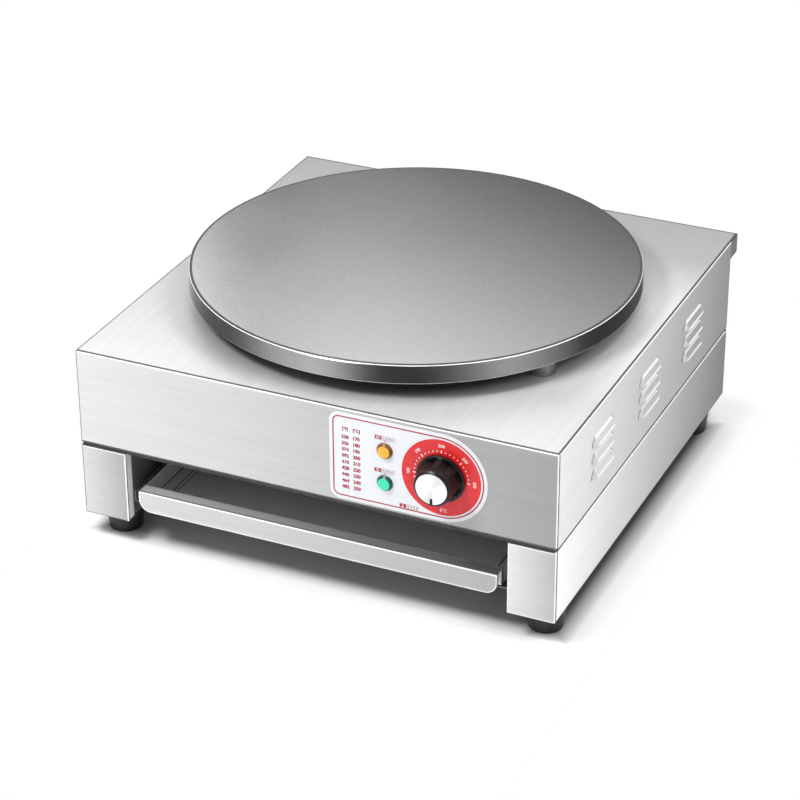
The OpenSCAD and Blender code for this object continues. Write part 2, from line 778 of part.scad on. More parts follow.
module tray() {
    x = tray_half;
    y0 = pan_front;
    band = tray_band;
    color("whitesmoke") at_seam() {
        tray_lip();
        difference() {
            union() {
                folded_block([-x, y0, band_z - sheet], [x, tray_back, ledge_z],
                    [fold_r, fold_r, 0, 0], [fold_r, fold_r, 0, 0], tray_corner_r);
                block([-press_half - sheet, y0 + band, floor_z - sheet],
                    [press_half + sheet, tray_back - band, band_z]);
            }
            folded_block([-x + sheet, y0 + sheet, band_z], [x - sheet, tray_back - sheet, ledge_z + eps],
                [inner_r, inner_r, 0, 0], [inner_r, inner_r, 0, 0], tray_corner_r - sheet);
            block([-press_half, y0 + band + sheet, floor_z],
                [press_half, tray_back - band - sheet, ledge_z]);
        }
    }
}

// ---- Griddle ----

module at_cover_screws(z) {
    for (a = cover_screw_angles) translate([0, 0, z]) translate(polar(cover_screw_circle, a)) children();
}

module griddle_plate() {
    r = plate_d / 2;
    edge = plate_edge;
    low = plate_gap;
    top = plate_gap + plate_rim_h;
    color("slategray") at_plate() difference() {
        union() {
            rotate_extrude($fn = 96) polygon([
                [0, recess_top], [recess_r, recess_top], [recess_r, low], [r - edge / 2, low],
                [r, low + edge / 2], [r, top - edge], [r - edge, top], [0, top]]);
            at_cover_screws(cover_top) cylinder(r = boss_r, h = recess_top - cover_top + eps);
        }
        for (a = support_angles) translate([0, 0, low - eps]) translate(polar(support_circle, a))
            cylinder(r = stud_r + play, h = support_hole_depth + eps);
        at_cover_screws(cover_top - eps)
            cylinder(r = m4_r + play, h = cover_screw_len - sheet + cover_tip_gap + eps);
    }
}

module support(i) {
    color("lightgray") at_plate() translate(polar(support_circle, support_angles[i])) {
        cylinder(r = support_r, h = plate_gap);
        translate([0, 0, -support_below])
            cylinder(r = stud_r, h = support_below + plate_gap + support_hole_depth - support_tip_gap);
    }
}

module front_left_support() support(0);

module front_right_support() support(1);

module rear_support() support(2);

module support_washers() {
    color("lightgray") at_plate() for (a = support_angles) {
        translate([0, 0, -sheet - washer_t]) translate(polar(support_circle, a)) difference() {
            cylinder(r = 2 * stud_r, h = washer_t);
            hole(stud_r + hole_clear, washer_t);
        }
    }
}

module support_nuts() {
    h = 1.6 * stud_r;
    color("lightgray") at_plate() for (a = support_angles) {
        translate([0, 0, -sheet - washer_t - h]) translate(polar(support_circle, a))
            nut(3.4 * stud_r, h, stud_r + play);
    }
}

module coil_turn(r) rotate([0, 0, coil_start]) rotate_extrude(angle = 360 - coil_gap)
    translate([r, 0]) circle(r = element_d / 2);

// The bend between two turns, at the end of the turn or at its start
module coil_bend(r, at_end) {
    rotate([0, 0, at_end ? coil_end : coil_start]) translate([r, 0, 0]) rotate([0, 0, at_end ? 0 : 180])
        rotate_extrude(angle = 180) translate([coil_pitch / 2, 0]) circle(r = element_d / 2);
}

module coil_lead(r) {
    down = element_z + lead_down - lead_bend;
    rotate([0, 0, coil_start]) translate([r, 0, 0]) {
        translate([0, 0, -lead_bend]) rotate([0, 90, 0]) rotate([0, 0, 180])
            rotate_extrude(angle = 90) translate([lead_bend, 0]) circle(r = element_d / 2);
        translate([0, -lead_bend, -lead_bend - down]) cylinder(r = element_d / 2, h = down);
    }
}

// The crimped joint at one end of a turn
module coil_joint(r, angle) rotate([0, 0, angle]) translate([r, joint_len / 2, 0])
    rotate([90, 0, 0]) cylinder(r = element_d / 2 + element_gap, h = joint_len);

module heating_element() {
    color("darkslategray") at_plate() translate([0, 0, element_z]) {
        for (i = [0:turns - 1]) {
            coil_turn(coil_r - i * coil_pitch);
            coil_joint(coil_r - i * coil_pitch, coil_start);
            coil_joint(coil_r - i * coil_pitch, coil_end);
        }
        for (i = [0:turns - 2]) coil_bend(coil_r - (i + 0.5) * coil_pitch, i % 2 == 0);
        coil_lead(coil_r);
        coil_lead(coil_r - (turns - 1) * coil_pitch);
    }
}

// Ceramic bushes that carry the element's leads through the hood's top
module element_bushes() {
    color("ivory") at_plate() for (p = lead_places) translate([p.x, p.y, 0]) difference() {
        union() {
            translate([0, 0, -sheet - bush_h / 2]) cylinder(r = bush_r - play, h = sheet + bush_h);
            cylinder(r = bush_r + 2, h = bush_h / 4);
        }
        translate([0, 0, -sheet - bush_h / 2]) hole(element_d / 2 + play, sheet + bush_h);
    }
}

// Holes for the leads, the capillary and the bosses through what lies under the element
module under_holes(h, boss_hole) {
    for (p = lead_places) translate(p) hole(lead_hole, h);
    translate(capillary_at) hole(capillary_way, h);
    at_cover_screws(0) hole(boss_hole, h);
}

module insulation_disc() {
    color("linen") at_plate() translate([0, 0, cover_top]) difference() {
        cylinder(r = cover_r, h = insulation_t);
        under_holes(insulation_t, boss_r + hole_clear);
    }
}

module element_cover() {
    color("silver") at_plate() translate([0, 0, cover_bottom]) difference() {
        cylinder(r = cover_r, h = sheet);
        under_holes(sheet, m4_hole);
    }
}

module cover_screws() {
    color("lightgray") at_plate() at_cover_screws(cover_bottom)
        screw(m4_r, m4_head_r, m4_head_h, cover_screw_len);
}

// ---- Thermostat ----

module thermostat_body() {
    w = thermostat_w / 2;
    plate_t = 2;
    tab_r = 4;
    corner = 3;
    color("whitesmoke") on_fascia() translate([dial_x, dial_z, -sheet]) difference() {
        union() {
            translate([0, 0, -thermostat_d]) linear_extrude(thermostat_d - plate_t)
                polygon(round_rect([-w, -w], [w, w], corner));
            translate([0, 0, -plate_t]) {
                for (s = [-1, 1]) translate([s * screw_pitch / 2, 0, 0]) cylinder(r = tab_r, h = plate_t);
                block([-screw_pitch / 2, -w + 2, 0], [screw_pitch / 2, w - 2, plate_t]);
            }
        }
        translate([0, 0, -shaft_in - eps]) cylinder(r = shaft_r + shaft_clear, h = shaft_in + 2 * eps);
        for (s = [-1, 1]) translate([s * screw_pitch / 2, 0, -m3_depth])
            cylinder(r = m3_r + play, h = m3_depth + eps);
    }
}

module thermostat_shaft() {
    tip = -knob_front - shaft_seat - shaft_tip_gap;
    color("silver") on_fascia() translate([dial_x, dial_z, 0]) difference() {
        translate([0, 0, -sheet - shaft_in]) cylinder(r = shaft_r, h = sheet + shaft_in + tip);
        translate([-shaft_r - eps, shaft_flat, label_t + label_gap])
            cube([2 * shaft_r + 2 * eps, shaft_r, tip]);
    }
}

module thermostat_screws() {
    color("lightgray") on_fascia() for (s = [-1, 1]) {
        translate([dial_x + s * screw_pitch / 2, dial_z, 0]) rotate([180, 0, 0])
            screw(m3_r, m3_head_r, m3_head_h, sheet + m3_in);
    }
}

module thermostat_bulb() {
    z = recess_top - bulb_d / 2;
    color("peru") at_plate() translate([bulb_end.x, bulb_end.y, z]) rotate([0, 0, bulb_angle])
        rotate([-90, 0, 0]) cylinder(r = bulb_d / 2, h = bulb_len);
}

module thermostat_capillary() {
    z = recess_top - bulb_d / 2;
    from = bulb_end;
    to = capillary_at;
    back = thermostat_back - plate_y;
    below = -hood_h + dial_z;
    color("peru") at_plate() wire([
        [from.x, from.y, z],
        [(from.x + to.x) / 2, (from.y + to.y) / 2, z - 1],
        [to.x, to.y, cover_top - capillary_drop],
        [to.x, to.y, 0],
        [to.x, to.y, -capillary_out],
        [to.x, to.y, below] + capillary_by,
        [dial_x + capillary_x, back + capillary_back, below],
        [dial_x + capillary_x, back, below]], capillary_r);
}

module capillary_grommet() {
    lip = 1.5;
    color("black") at_plate() translate([capillary_at.x, capillary_at.y, 0]) difference() {
        union() {
            translate([0, 0, -sheet - lip]) cylinder(r = capillary_hole - play, h = sheet + 2 * lip);
            cylinder(r = capillary_hole + 2, h = lip);
            translate([0, 0, -sheet - lip]) cylinder(r = capillary_hole + 2, h = lip);
        }
        translate([0, 0, -sheet - lip]) hole(capillary_r + 0.5, sheet + 2 * lip);
    }
}

// ---- Knob ----

module knob() {
    flute_top = knob_len - flute_land;
    lean = atan((grip_r - grip_front_r) / (knob_len - skirt_h));
    color([0.09, 0.09, 0.09]) on_fascia() translate([dial_x, dial_z, -knob_y]) difference() {
        rotate_extrude() polygon([
            [0, 0], [skirt_r - knob_edge, 0], [skirt_r, knob_edge], [skirt_r, skirt_h / 2],
            [grip_r + knob_edge, skirt_h], [grip_r, skirt_h], [grip_front_r, knob_len - knob_nose],
            [grip_front_r - knob_nose, knob_len], [cap_r + play, knob_len],
            [cap_r + play, knob_len - cap_seat],
            [0, knob_len - cap_seat]]);
        for (i = [0:flute_count - 1]) rotate([0, 0, (i + 0.5) * 360 / flute_count])
            translate([grip_r + flute_r - flute_depth, 0, skirt_h]) rotate([0, -lean, 0])
                cylinder(r = flute_r, h = flute_top - skirt_h);
        // Clear of the thermostat's screws, and bored for its shaft
        translate([0, 0, -eps]) difference() {
            cylinder(r = m3_head_r + screw_pitch / 2 + 0.5, h = skirt_hollow + eps);
            cylinder(r = hub_r, h = skirt_hollow + eps);
        }
        difference() {
            translate([0, 0, -eps]) cylinder(r = shaft_r + play, h = knob_len - shaft_seat + eps);
            translate([-shaft_r, shaft_flat + play, -eps]) cube([2 * shaft_r, shaft_r, knob_len]);
        }
    }
}

// Bright cap with the pointer's notch at its lower edge
module knob_cap() {
    color("whitesmoke") on_fascia()
        translate([dial_x, dial_z, -knob_front - cap_seat]) difference() {
            cylinder(r = cap_r, h = cap_seat + cap_proud);
            translate([0, -cap_r + notch_in, 0]) hole(notch_w / 2, cap_seat + cap_proud);
            block([-notch_w / 2, -cap_r - eps, -eps],
                [notch_w / 2, -cap_r + notch_in, cap_seat + 2 * eps]);
        }
}

// ---- Label and lamps ----

module control_label() {
    corner = 9;
    r = label_h / 2;
    outline = concat(arc([dial_x, dial_z], r, -90, 90, 36),
        arc([label_left + corner, dial_z + r - corner], corner, 90, 180),
        arc([label_left + corner, dial_z - r + corner], corner, 180, 270));
    color("white") on_fascia() difference() {
        linear_extrude(label_t) polygon(outline);
        translate([dial_x, dial_z, 0]) {
            hole(shaft_hole, label_t);
            for (s = [-1, 1]) translate([s * screw_pitch / 2, 0, 0]) hole(m3_head_r + 0.3, label_t);
        }
        for (z = lamp_zs) translate([lamp_x, z, 0]) hole(lamp_hole, label_t);
    }
}

module at_lamp(i) on_fascia() translate([lamp_x, lamp_zs[i], label_t]) children();

module lens(tint) {
    color(tint) rotate_extrude() polygon([
        [0, -lens_in], [lamp_r - lamp_wall, -lens_in], [lamp_r - lamp_wall, 0], [lens_r, 0],
        [lens_r, lens_step], [lens_r - lens_bevel, lens_out], [0, lens_out]]);
}

module amber_lens() at_lamp(0) lens("orange");

module green_lens() at_lamp(1) lens("mediumseagreen");

module lamp_body() {
    total = label_t + sheet + lamp_len;
    color("ivory") {
        difference() {
            translate([0, 0, -total]) cylinder(r = lamp_r, h = total);
            translate([0, 0, -lens_seat])
                cylinder(r = lamp_r - lamp_wall + play, h = lens_seat + eps);
        }
        for (s = [-1, 1]) translate([s * lamp_tab_x, 0, -total])
            block([-0.4, -2, -lamp_tab], [0.4, 2, 0.1]);
    }
}

module amber_lamp_body() at_lamp(0) lamp_body();

module green_lamp_body() at_lamp(1) lamp_body();

module lamp_nuts() {
    color("dimgray") for (i = [0, 1]) at_lamp(i) translate([0, 0, -label_t - sheet - lamp_nut_h])
        nut(lamp_nut_af, lamp_nut_h, lamp_r + play);
}

// ---- Supply ----

module terminal_block() {
    color("ivory") at_seam() translate([-supply_x, block_y, 0]) difference() {
        translate([0, 0, block_size.z / 2]) cube(block_size, center = true);
        for (s = [-1, 1]) translate([s * block_hole_x, 0, 0]) {
            hole(m4_hole, block_size.z);
            translate([0, 0, block_size.z - m4_head_h - 2]) hole(m4_head_r + 0.4, m4_head_h + 2);
        }
        for (i = [-1:1]) translate([i * way_pitch, 0, way_z]) {
            translate([0, block_size.y / 2, 0]) rotate([90, 0, 0]) hole(way_r + play, block_size.y);
            hole(clamp_screw_r + hole_clear, block_size.z);
        }
    }
}

module terminal_block_fixings() {
    drop = block_size.z - m4_head_h - 2 - eps;
    color("lightgray") at_seam() for (s = [-1, 1]) translate([-supply_x + s * block_hole_x, block_y, 0]) {
        translate([0, 0, drop]) rotate([180, 0, 0])
            screw(m4_r, m4_head_r, m4_head_h, drop + sheet + m4_nut_h + m4_tail);
        translate([0, 0, -sheet - m4_nut_h]) m4_nut();
    }
}

// Brass barrels that take a wire at each end, each with its clamp screw
module terminal_clamps() {
    len = block_size.y - 2 * clamp_in;
    color("gold") at_seam() for (i = [-1:1]) translate([-supply_x + i * way_pitch, block_y, way_z]) {
        difference() {
            translate([0, len / 2, 0]) rotate([90, 0, 0]) cylinder(r = way_r, h = len);
            for (s = [0, 1]) rotate([0, 0, 180 * s]) translate([0, len / 2 + eps, 0])
                rotate([90, 0, 0]) cylinder(r = wire_r + play, h = way_depth + eps);
        }
        translate([0, 0, way_r - eps]) cylinder(r = clamp_screw_r, h = clamp_screw_h);
    }
}

module cable_gland_body() {
    behind = sheet + gland_in;
    color("dimgray") on_rear(-supply_x, supply_z) difference() {
        union() {
            cylinder(r = gland_flange_r, h = gland_flange_t, $fn = 6);
            translate([0, 0, -behind]) cylinder(r = gland_thread_r, h = behind + gland_flange_t);
            cylinder(r = gland_neck_r, h = gland_neck);
        }
        translate([0, 0, -behind]) hole(gland_bore_r, behind + gland_neck);
    }
}

module cable_gland_dome() {
    from = gland_flange_t + rest_gap;
    color("black") on_rear(-supply_x, supply_z) difference() {
        rotate_extrude() polygon([
            [0, from], [gland_thread_r, from], [gland_thread_r, gland_out - 5],
            [gland_thread_r - 3, gland_out], [0, gland_out]]);
        translate([0, 0, from - eps]) cylinder(r = gland_neck_r + play, h = gland_neck - from + eps);
        translate([0, 0, gland_neck - eps]) cylinder(r = gland_bore_r, h = gland_out);
    }
}

module cable_gland_locknut() {
    color("dimgray") on_rear(-supply_x, supply_z) translate([0, 0, -sheet - gland_nut_h])
        nut(2.5 * gland_thread_r, gland_nut_h, gland_thread_r + play);
}

// A stud with a hexagon collar that seats on the outside of the panel
module bonding_stud() {
    color("lightgray") on_rear(bonding_x, supply_z) {
        translate([0, 0, -sheet - bonding_in]) cylinder(r = stud5_r, h = sheet + bonding_in + bonding_out);
        cylinder(r = stud5_nut_af / sqrt(3), h = stud5_nut_h, $fn = 6);
    }
}

module bonding_nut() nut(stud5_nut_af, stud5_nut_h, stud5_r + play);

// One nut clamps the stud to the panel, and one holds the earth wire
module bonding_nuts() {
    color("lightgray") on_rear(bonding_x, supply_z) {
        translate([0, 0, -sheet - stud5_nut_h]) bonding_nut();
        translate([0, 0, -sheet - bonding_in + 2]) bonding_nut();
    }
}

// ---- Wires ----

// A wire between two ends, straight for the stretches out_a and out_b, through the points between
module lead_wire(a, out_a, between, b, out_b, r = wire_r) wire(concat(
    [a, a + out_a / 2, a + out_a], between, [b + out_b, b + out_b / 2, b]), r);

// The floor of the hole in a way of the terminal block, at its front
function way_end(i) = [-supply_x + i * way_pitch, block_y - block_size.y / 2 + clamp_in + way_depth, way_z];

// A terminal on the thermostat's back, at x and z from its shaft
function thermostat_end(x, z) = [dial_x + x, thermostat_back, dial_z + z];

// A lamp's tab: side is -1 at the left and 1 at the right
function lamp_end(i, side) = [lamp_x + side * lamp_tab_x, lamp_back, lamp_zs[i]];

// The low end of one of the element's leads
function lead_end(i) = [lead_places[i].x, lead_places[i].y + plate_y, hood_h - lead_down];

// Where a lamp's wire passes behind the thermostat, at the height z from its shaft
function lamp_way(z) = [dial_x - lamp_wire_side, thermostat_back + lamp_wire_back, dial_z + z];

module live_wires() {
    out = [0, wire_out, 0];
    lamp_out = [0, lamp_wire_out, 0];
    color("saddlebrown") at_seam() {
        lead_wire(way_end(-1), way_out, live_route, thermostat_end(-tabs_x, -tabs_z[0]), out);
        lead_wire(thermostat_end(-tabs_x, tabs_z[0]), out, [lead_end(0) + element_wire_by],
            lead_end(0), [0, 0, -wire_out]);
        for (i = [0, 1]) {
            z = i == 0 ? 1 : -1;
            lead_wire(thermostat_end(0, z * tabs_z[1]), out, [lamp_way(z * lamp_wire_z)],
                lamp_end(i, 1), lamp_out, lamp_wire_r);
        }
    }
}

module neutral_wires() {
    lamp_out = [0, lamp_wire_out, 0];
    color("royalblue") at_seam() {
        lead_wire(way_end(0), way_out, neutral_route, lead_end(1), [0, 0, -wire_out]);
        lead_wire(lamp_end(0, -1), lamp_out, [[lamp_x, lamp_back, dial_z] + neutral_lamp_by],
            lamp_end(1, -1), lamp_out, lamp_wire_r);
    }
}

module earth_wire() {
    from = [bonding_x, body_d - sheet - bonding_in, supply_z];
    by = [bonding_x, block_y, supply_z] + earth_by;
    color("yellowgreen") at_seam() lead_wire(from, [0, -wire_out, 0], [by], way_end(1), way_out);
}

hood();
rear_panel();
chassis_plate();
left_side_frame();
right_side_frame();
left_inner_panel();
right_inner_panel();
left_runner();
right_runner();
runner_rivets();
hood_screws();
inner_panel_screws();
frame_nuts();
rear_panel_screws();
rear_panel_nuts();
front_left_foot();
front_right_foot();
rear_left_foot();
rear_right_foot();
foot_screws();
foot_nuts();
tray();
griddle_plate();
front_left_support();
front_right_support();
rear_support();
support_washers();
support_nuts();
heating_element();
element_bushes();
insulation_disc();
element_cover();
cover_screws();
thermostat_body();
thermostat_shaft();
thermostat_screws();
thermostat_bulb();
thermostat_capillary();
capillary_grommet();
knob();
knob_cap();
control_label();
amber_lens();
amber_lamp_body();
green_lens();
green_lamp_body();
lamp_nuts();
terminal_block();
terminal_block_fixings();
terminal_clamps();
cable_gland_body();
cable_gland_dome();
cable_gland_locknut();
bonding_stud();
bonding_nuts();
live_wires();
neutral_wires();
earth_wire();
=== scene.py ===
"""Looks of an electric crepe maker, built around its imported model. Metres, +X right, +Y back, +Z up."""
import math

import bmesh
import bpy
from mathutils import Matrix, Vector


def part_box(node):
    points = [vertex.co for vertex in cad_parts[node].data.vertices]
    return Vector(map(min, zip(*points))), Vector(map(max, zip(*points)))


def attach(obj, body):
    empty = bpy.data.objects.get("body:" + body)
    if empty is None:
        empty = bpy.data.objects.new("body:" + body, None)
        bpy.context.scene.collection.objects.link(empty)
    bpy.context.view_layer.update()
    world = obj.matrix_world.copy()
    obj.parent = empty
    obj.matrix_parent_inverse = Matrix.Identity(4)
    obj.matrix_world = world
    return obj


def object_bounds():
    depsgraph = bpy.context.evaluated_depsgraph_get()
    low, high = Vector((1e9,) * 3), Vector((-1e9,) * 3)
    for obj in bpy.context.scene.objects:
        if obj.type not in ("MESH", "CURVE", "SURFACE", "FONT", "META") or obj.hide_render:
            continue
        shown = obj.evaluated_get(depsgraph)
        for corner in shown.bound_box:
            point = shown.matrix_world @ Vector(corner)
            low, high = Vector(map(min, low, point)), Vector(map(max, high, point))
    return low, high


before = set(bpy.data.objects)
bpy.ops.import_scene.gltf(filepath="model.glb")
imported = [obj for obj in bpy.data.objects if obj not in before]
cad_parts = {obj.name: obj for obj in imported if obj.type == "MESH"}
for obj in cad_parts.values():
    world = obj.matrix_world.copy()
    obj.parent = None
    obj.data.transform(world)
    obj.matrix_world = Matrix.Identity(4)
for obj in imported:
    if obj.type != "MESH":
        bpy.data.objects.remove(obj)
cad_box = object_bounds()
MM = 0.001

# ---- Camera ----

FRAME_PX = 800
CAMERA_AT = (0.88663, -1.97985, 1.26747)
CAMERA_YAW, CAMERA_PITCH, CAMERA_ROLL = -0.42772, 0.50147, 0.00543
FOCAL_PX = 2733.13
SENSOR_MM = 36.0


def make_camera():
    forward = Vector((math.sin(CAMERA_YAW) * math.cos(CAMERA_PITCH),
                      math.cos(CAMERA_YAW) * math.cos(CAMERA_PITCH), -math.sin(CAMERA_PITCH)))
    right = Vector((math.cos(CAMERA_YAW), -math.sin(CAMERA_YAW), 0))
    down = forward.cross(right)
    c, s = math.cos(CAMERA_ROLL), math.sin(CAMERA_ROLL)
    right, down = right * c + down * s, down * c - right * s
    data = bpy.data.cameras.new("camera")
    data.sensor_width = SENSOR_MM
    data.lens = FOCAL_PX * SENSOR_MM / FRAME_PX
    data.clip_start, data.clip_end = 0.1, 50
    camera = bpy.data.objects.new("camera", data)
    bpy.context.scene.collection.objects.link(camera)
    camera.matrix_world = Matrix.Translation(CAMERA_AT) @ Matrix(
        (right, -down, -forward)).transposed().to_4x4()
    bpy.context.scene.camera = camera


# ---- Materials ----

STEEL = (0.5, 0.5, 0.505)
PLATE = (0.325, 0.325, 0.328)
CRIMSON = (0.36, 0.0, 0.035)
RED = (0.66, 0.01, 0.014)
BUMP = 0.0002                   # how deep most grain is

# Brushed sheet. A tone is painted light or shade: the share by which it is paler than its colour, or duller
# where it is below 0.
ROUGH, METAL, GRAIN = 0.5, 0.28, 0.08
ACROSS, ALONG = 750.0, 14.0     # how often the brush lines change, across them and along them
LOOKS = 0.7                     # how squarely a face looks along an axis before it counts
LOOKS_UP = 0.68                 # the same for the level faces' edge lines
HALF_BODY = 0.22                # painted tones along a face run from the object's middle to here
# where the painted tone across each front leg is centred, and half its width
LEG_CENTRE, HALF_LEG = 0.204, 0.022
TOP_TONE = 0.22                 # how much painted shade dulls level sheets at the rear
EDGE = 0.003                    # how far the painted edge lines, highlights and dark lines, reach
NARROW, BROAD = (0.93, 0.88), (0.995, 0.97)     # the turns, as cosines, at which edges start and are full
FOLD = (0.995, 0.97)            # the same for folds, against the nearest axis
PALE_EDGE, DARK_EDGE, DARK_END = 0.93, 0.14, 0.1    # grey of the painted edge highlights, and the share of the colour in painted dark edge lines
LEAN = 0.15                     # how far a rounded edge leans before it counts as that edge
LEFT_END = -0.18                # only left of here are forward faces' left edges painted dark
SIDE_LINE, BOTTOM_LINE = 0.0028, 0.0018     # painted dark lines of shade at the rear and bottom of sideways faces

# The hood
SEAM_Z = 0.096                  # where the hood ends over the side frames
HOOD_SIDE = 0.2223              # the louvres stand out beyond it
HOOD_REAR = 0.2176              # where the hood's sides end, and their height at the bottom
HOOD_FOOT = SEAM_Z - 0.0006
TOP_LINE, HEM_LINE = 0.0025, 0.0024         # painted lines round the top, and along the fascia's foot
REAR_LINE = 1.3 * TOP_LINE
DARK_FOOT = 0.2                 # the share of the colour in the painted shade along the fascia's foot
LOUVRE_FOLD, LOUVRE_LIP = 0.0011, 0.0034    # how far out the louvres' painted highlight lines end and start
LOUVRE_END = 0.3                # how far a face looks forwards where it closes a louvre's end
LOUVRE_PALE, LOUVRE_END_TINT = 0.82, 1.1    # the painted highlight lines' grey, and the share of the colour painted on the louvres' ends
PLATE_SHADE, UNDER_PLATE = (0.168, 0.212), 0.78     # the painted shadow under the plate: how far from its centre, and how much duller
PALE_X, PALE_STRIP = (0.13, 0.2), 0.55      # painted light: the strip right of the plate, and how much paler it is
# where the painted light strip fades out, towards the front and the back
PALE_Y = ((-0.13, -0.03), (0.16, 0.06))

# The tray's painted light and shade: where the ledge behind its lip ends, where its pan gets duller to the
# rear, and where the ledge gets duller to the right, each with its tones at the start and the end
LEDGE, LEDGE_TONES = (-0.2035, -0.201), (-0.15, 0.3)
PAN_REAR, PAN_REAR_TONES = (-0.19, -0.06), (0.0, -0.42)
LEDGE_ENDS, LEDGE_END_TONES = (-0.15, 0.15), (0.05, -0.65)

# The griddle plate
PLATE_R, PLATE_HALF_H = 0.2, 0.00875
PLATE_RINGS = 1800              # how often the turned rings change, from the centre outwards
PLATE_TONE, PLATE_TONE_BACK = 0.37, 0.5     # how much painted shade dulls its top at the right and at the back
# the rim's painted reflections, from dark to light
RIM_COLORS = ((0.03, 0.03, 0.032), (0.37, 0.37, 0.375))
# the painted reflections' waves round the rim: how many, how far they are turned, and how strong
RIM_WAVES = ((6.0, -0.92, 1.0), (11.0, 0.4, 0.2))
RIM_DARK = ((-0.8, -0.36), (1.2, 0.8))      # the painted dark stretch at the right, in radians from +X
RIM_LINE, RIM_DEPTH = 0.0032, 0.0004        # the painted dark ring on top, inwards and down
CHAMFER_LINE = 0.0009           # how far down the rim the painted highlight line reaches
RIM_FOOT = 0.0007               # how far up the rim the lower painted highlight line reaches

# The knob's cap
CAP_RINGS = 3000
# the painted sheen's sectors round the cap: how many, how far they are turned, and how strong
CAP_WAVES = ((2.0, 2.4, 1.0), (5.0, 0.5, 0.6))
POINTER_W, POINTER_L = 0.0024, 0.0052

LENS_FACE_R = 0.0054            # a lamp lens's flat face; the bevel round it has painted shade


def tint(color, factor=1.0):
    return tuple(min(1.0, c * factor) for c in color) + (1.0,)


def grey(value):
    return (value, value, value, 1.0)


class Shader:
    """One material's node tree, with short calls for the nodes that it uses."""

    def __init__(self, name):
        self.material = bpy.data.materials.new(name)
        self.material.use_nodes = True
        self.tree = self.material.node_tree
        self.tree.nodes.clear()
        self.where = self.node("ShaderNodeTexCoord").outputs
        self.surface = self.node("ShaderNodeBsdfPrincipled")
        self.out = self.node("ShaderNodeOutputMaterial")
        self.put(self.out, 0, self.surface.outputs[0])

    def node(self, kind, inputs=None, **settings):
        made = self.tree.nodes.new(kind)
        for key, value in settings.items():
            setattr(made, key, value)
        for key, value in (inputs or {}).items():
            self.put(made, key, value)
        return made

    def put(self, node, key, value):
        if isinstance(value, bpy.types.NodeSocket):
            self.tree.links.new(value, node.inputs[key])
        else:
            node.inputs[key].default_value = value

    def set(self, **values):
        for key, value in values.items():
            self.put(self.surface, key.replace("_", " "), value)

    # Numbers

    def math(self, how, a, b=0.0, clamp=False):
        return self.node("ShaderNodeMath", {0: a, 1: b}, operation=how, use_clamp=clamp).outputs[0]

    def chain(self, how, first, *others):
        for other in others:
            first = self.math(how, first, other)
        return first

    def plus(self, *values):
        return self.chain("ADD", *values)

    def minus(self, a, b):
        return self.math("SUBTRACT", a, b)

    def times(self, *values):
        return self.chain("MULTIPLY", *values)

    def most(self, *values):
        return self.chain("MAXIMUM", *values)

    def least(self, a, b):
        return self.math("MINIMUM", a, b)

    def size(self, value):
        return self.math("ABSOLUTE", value)

    def above(self, a, b):
        return self.math("GREATER_THAN", a, b)

    def below(self, a, b):
        return self.math("LESS_THAN", a, b)

    def mix(self, share, a, b):
        """A number between a and b."""
        return self.node("ShaderNodeMix", {0: share, 2: a, 3: b}).outputs[0]

    def ramp(self, value, start, end, low=0.0, high=1.0, smooth=False):
        """From low, where the value is start, to high, where it is end."""
        return self.node("ShaderNodeMapRange", {0: value, 1: start, 2: end, 3: low, 4: high},
                         interpolation_type="SMOOTHSTEP" if smooth else "LINEAR").outputs[0]

    def spread(self, value, low, high):
        """Noise between 0 and 1, mapped to the range from low to high."""
        return self.ramp(value, 0.25, 0.75, low, high)

    def waves(self, turn, parts):
        """Sine waves round a disc: how many, how far they are turned, and how strong they are."""
        return self.plus(*(
            self.times(self.math("SINE", self.plus(self.times(turn, count), shift)), strength)
            for count, shift, strength in parts))

    # Vectors and colours

    def vector(self, how, a, b=None):
        made = self.node("ShaderNodeVectorMath", {0: a} if b is None else {0: a, 1: b}, operation=how)
        return made.outputs["Value" if how in ("LENGTH", "DOT_PRODUCT") else "Vector"]

    def scaled(self, vector, factor):
        return self.node("ShaderNodeVectorMath", {0: vector, "Scale": factor}, operation="SCALE").outputs[0]

    def split(self, vector):
        return self.node("ShaderNodeSeparateXYZ", {0: vector}).outputs

    def joined(self, x, y=0.0):
        return self.node("ShaderNodeCombineXYZ", {0: x, 1: y}).outputs[0]

    def around(self, centre):
        """The place as x, y and z from a centre."""
        return self.split(self.vector("SUBTRACT", self.where["Object"], centre))

    def mapped(self, scale):
        scale = scale if isinstance(scale, tuple) else (scale,) * 3
        return self.node("ShaderNodeMapping", {"Vector": self.where["Object"], "Scale": scale}).outputs[0]

    def noise(self, vector, scale=1.0, detail=2.0, rough=0.5):
        return self.node("ShaderNodeTexNoise", {
            "Vector": vector, "Scale": scale, "Detail": detail, "Roughness": rough}).outputs["Fac"]

    def mix_vector(self, share, a, b):
        return self.node("ShaderNodeMix", {0: share, 4: a, 5: b}, data_type="VECTOR").outputs[1]

    def mix_color(self, share, a, b):
        return self.node("ShaderNodeMix", {0: share, 6: a, 7: b}, data_type="RGBA").outputs[2]

    # Surface

    def bump(self, height, strength, distance=BUMP):
        made = self.node("ShaderNodeBump", {
            "Height": height, "Strength": strength, "Distance": distance})
        self.set(Normal=made.outputs[0])

    def edges(self, broad, flatness, folded=1.0):
        """1 at an edge or fold and 0 away from it, wider where broad is 1, and the rounded edge's way."""
        bent = self.node("ShaderNodeBevel", {"Radius": EDGE}, samples=8).outputs[0]
        own = self.node("ShaderNodeNewGeometry").outputs["Normal"]
        start, full = (self.mix(broad, narrow, wide) for narrow, wide in zip(NARROW, BROAD))
        edge = self.ramp(self.vector("DOT_PRODUCT", bent, own), start, full)
        fold = self.times(self.ramp(flatness, *FOLD), folded)
        return self.most(edge, fold), self.split(bent)


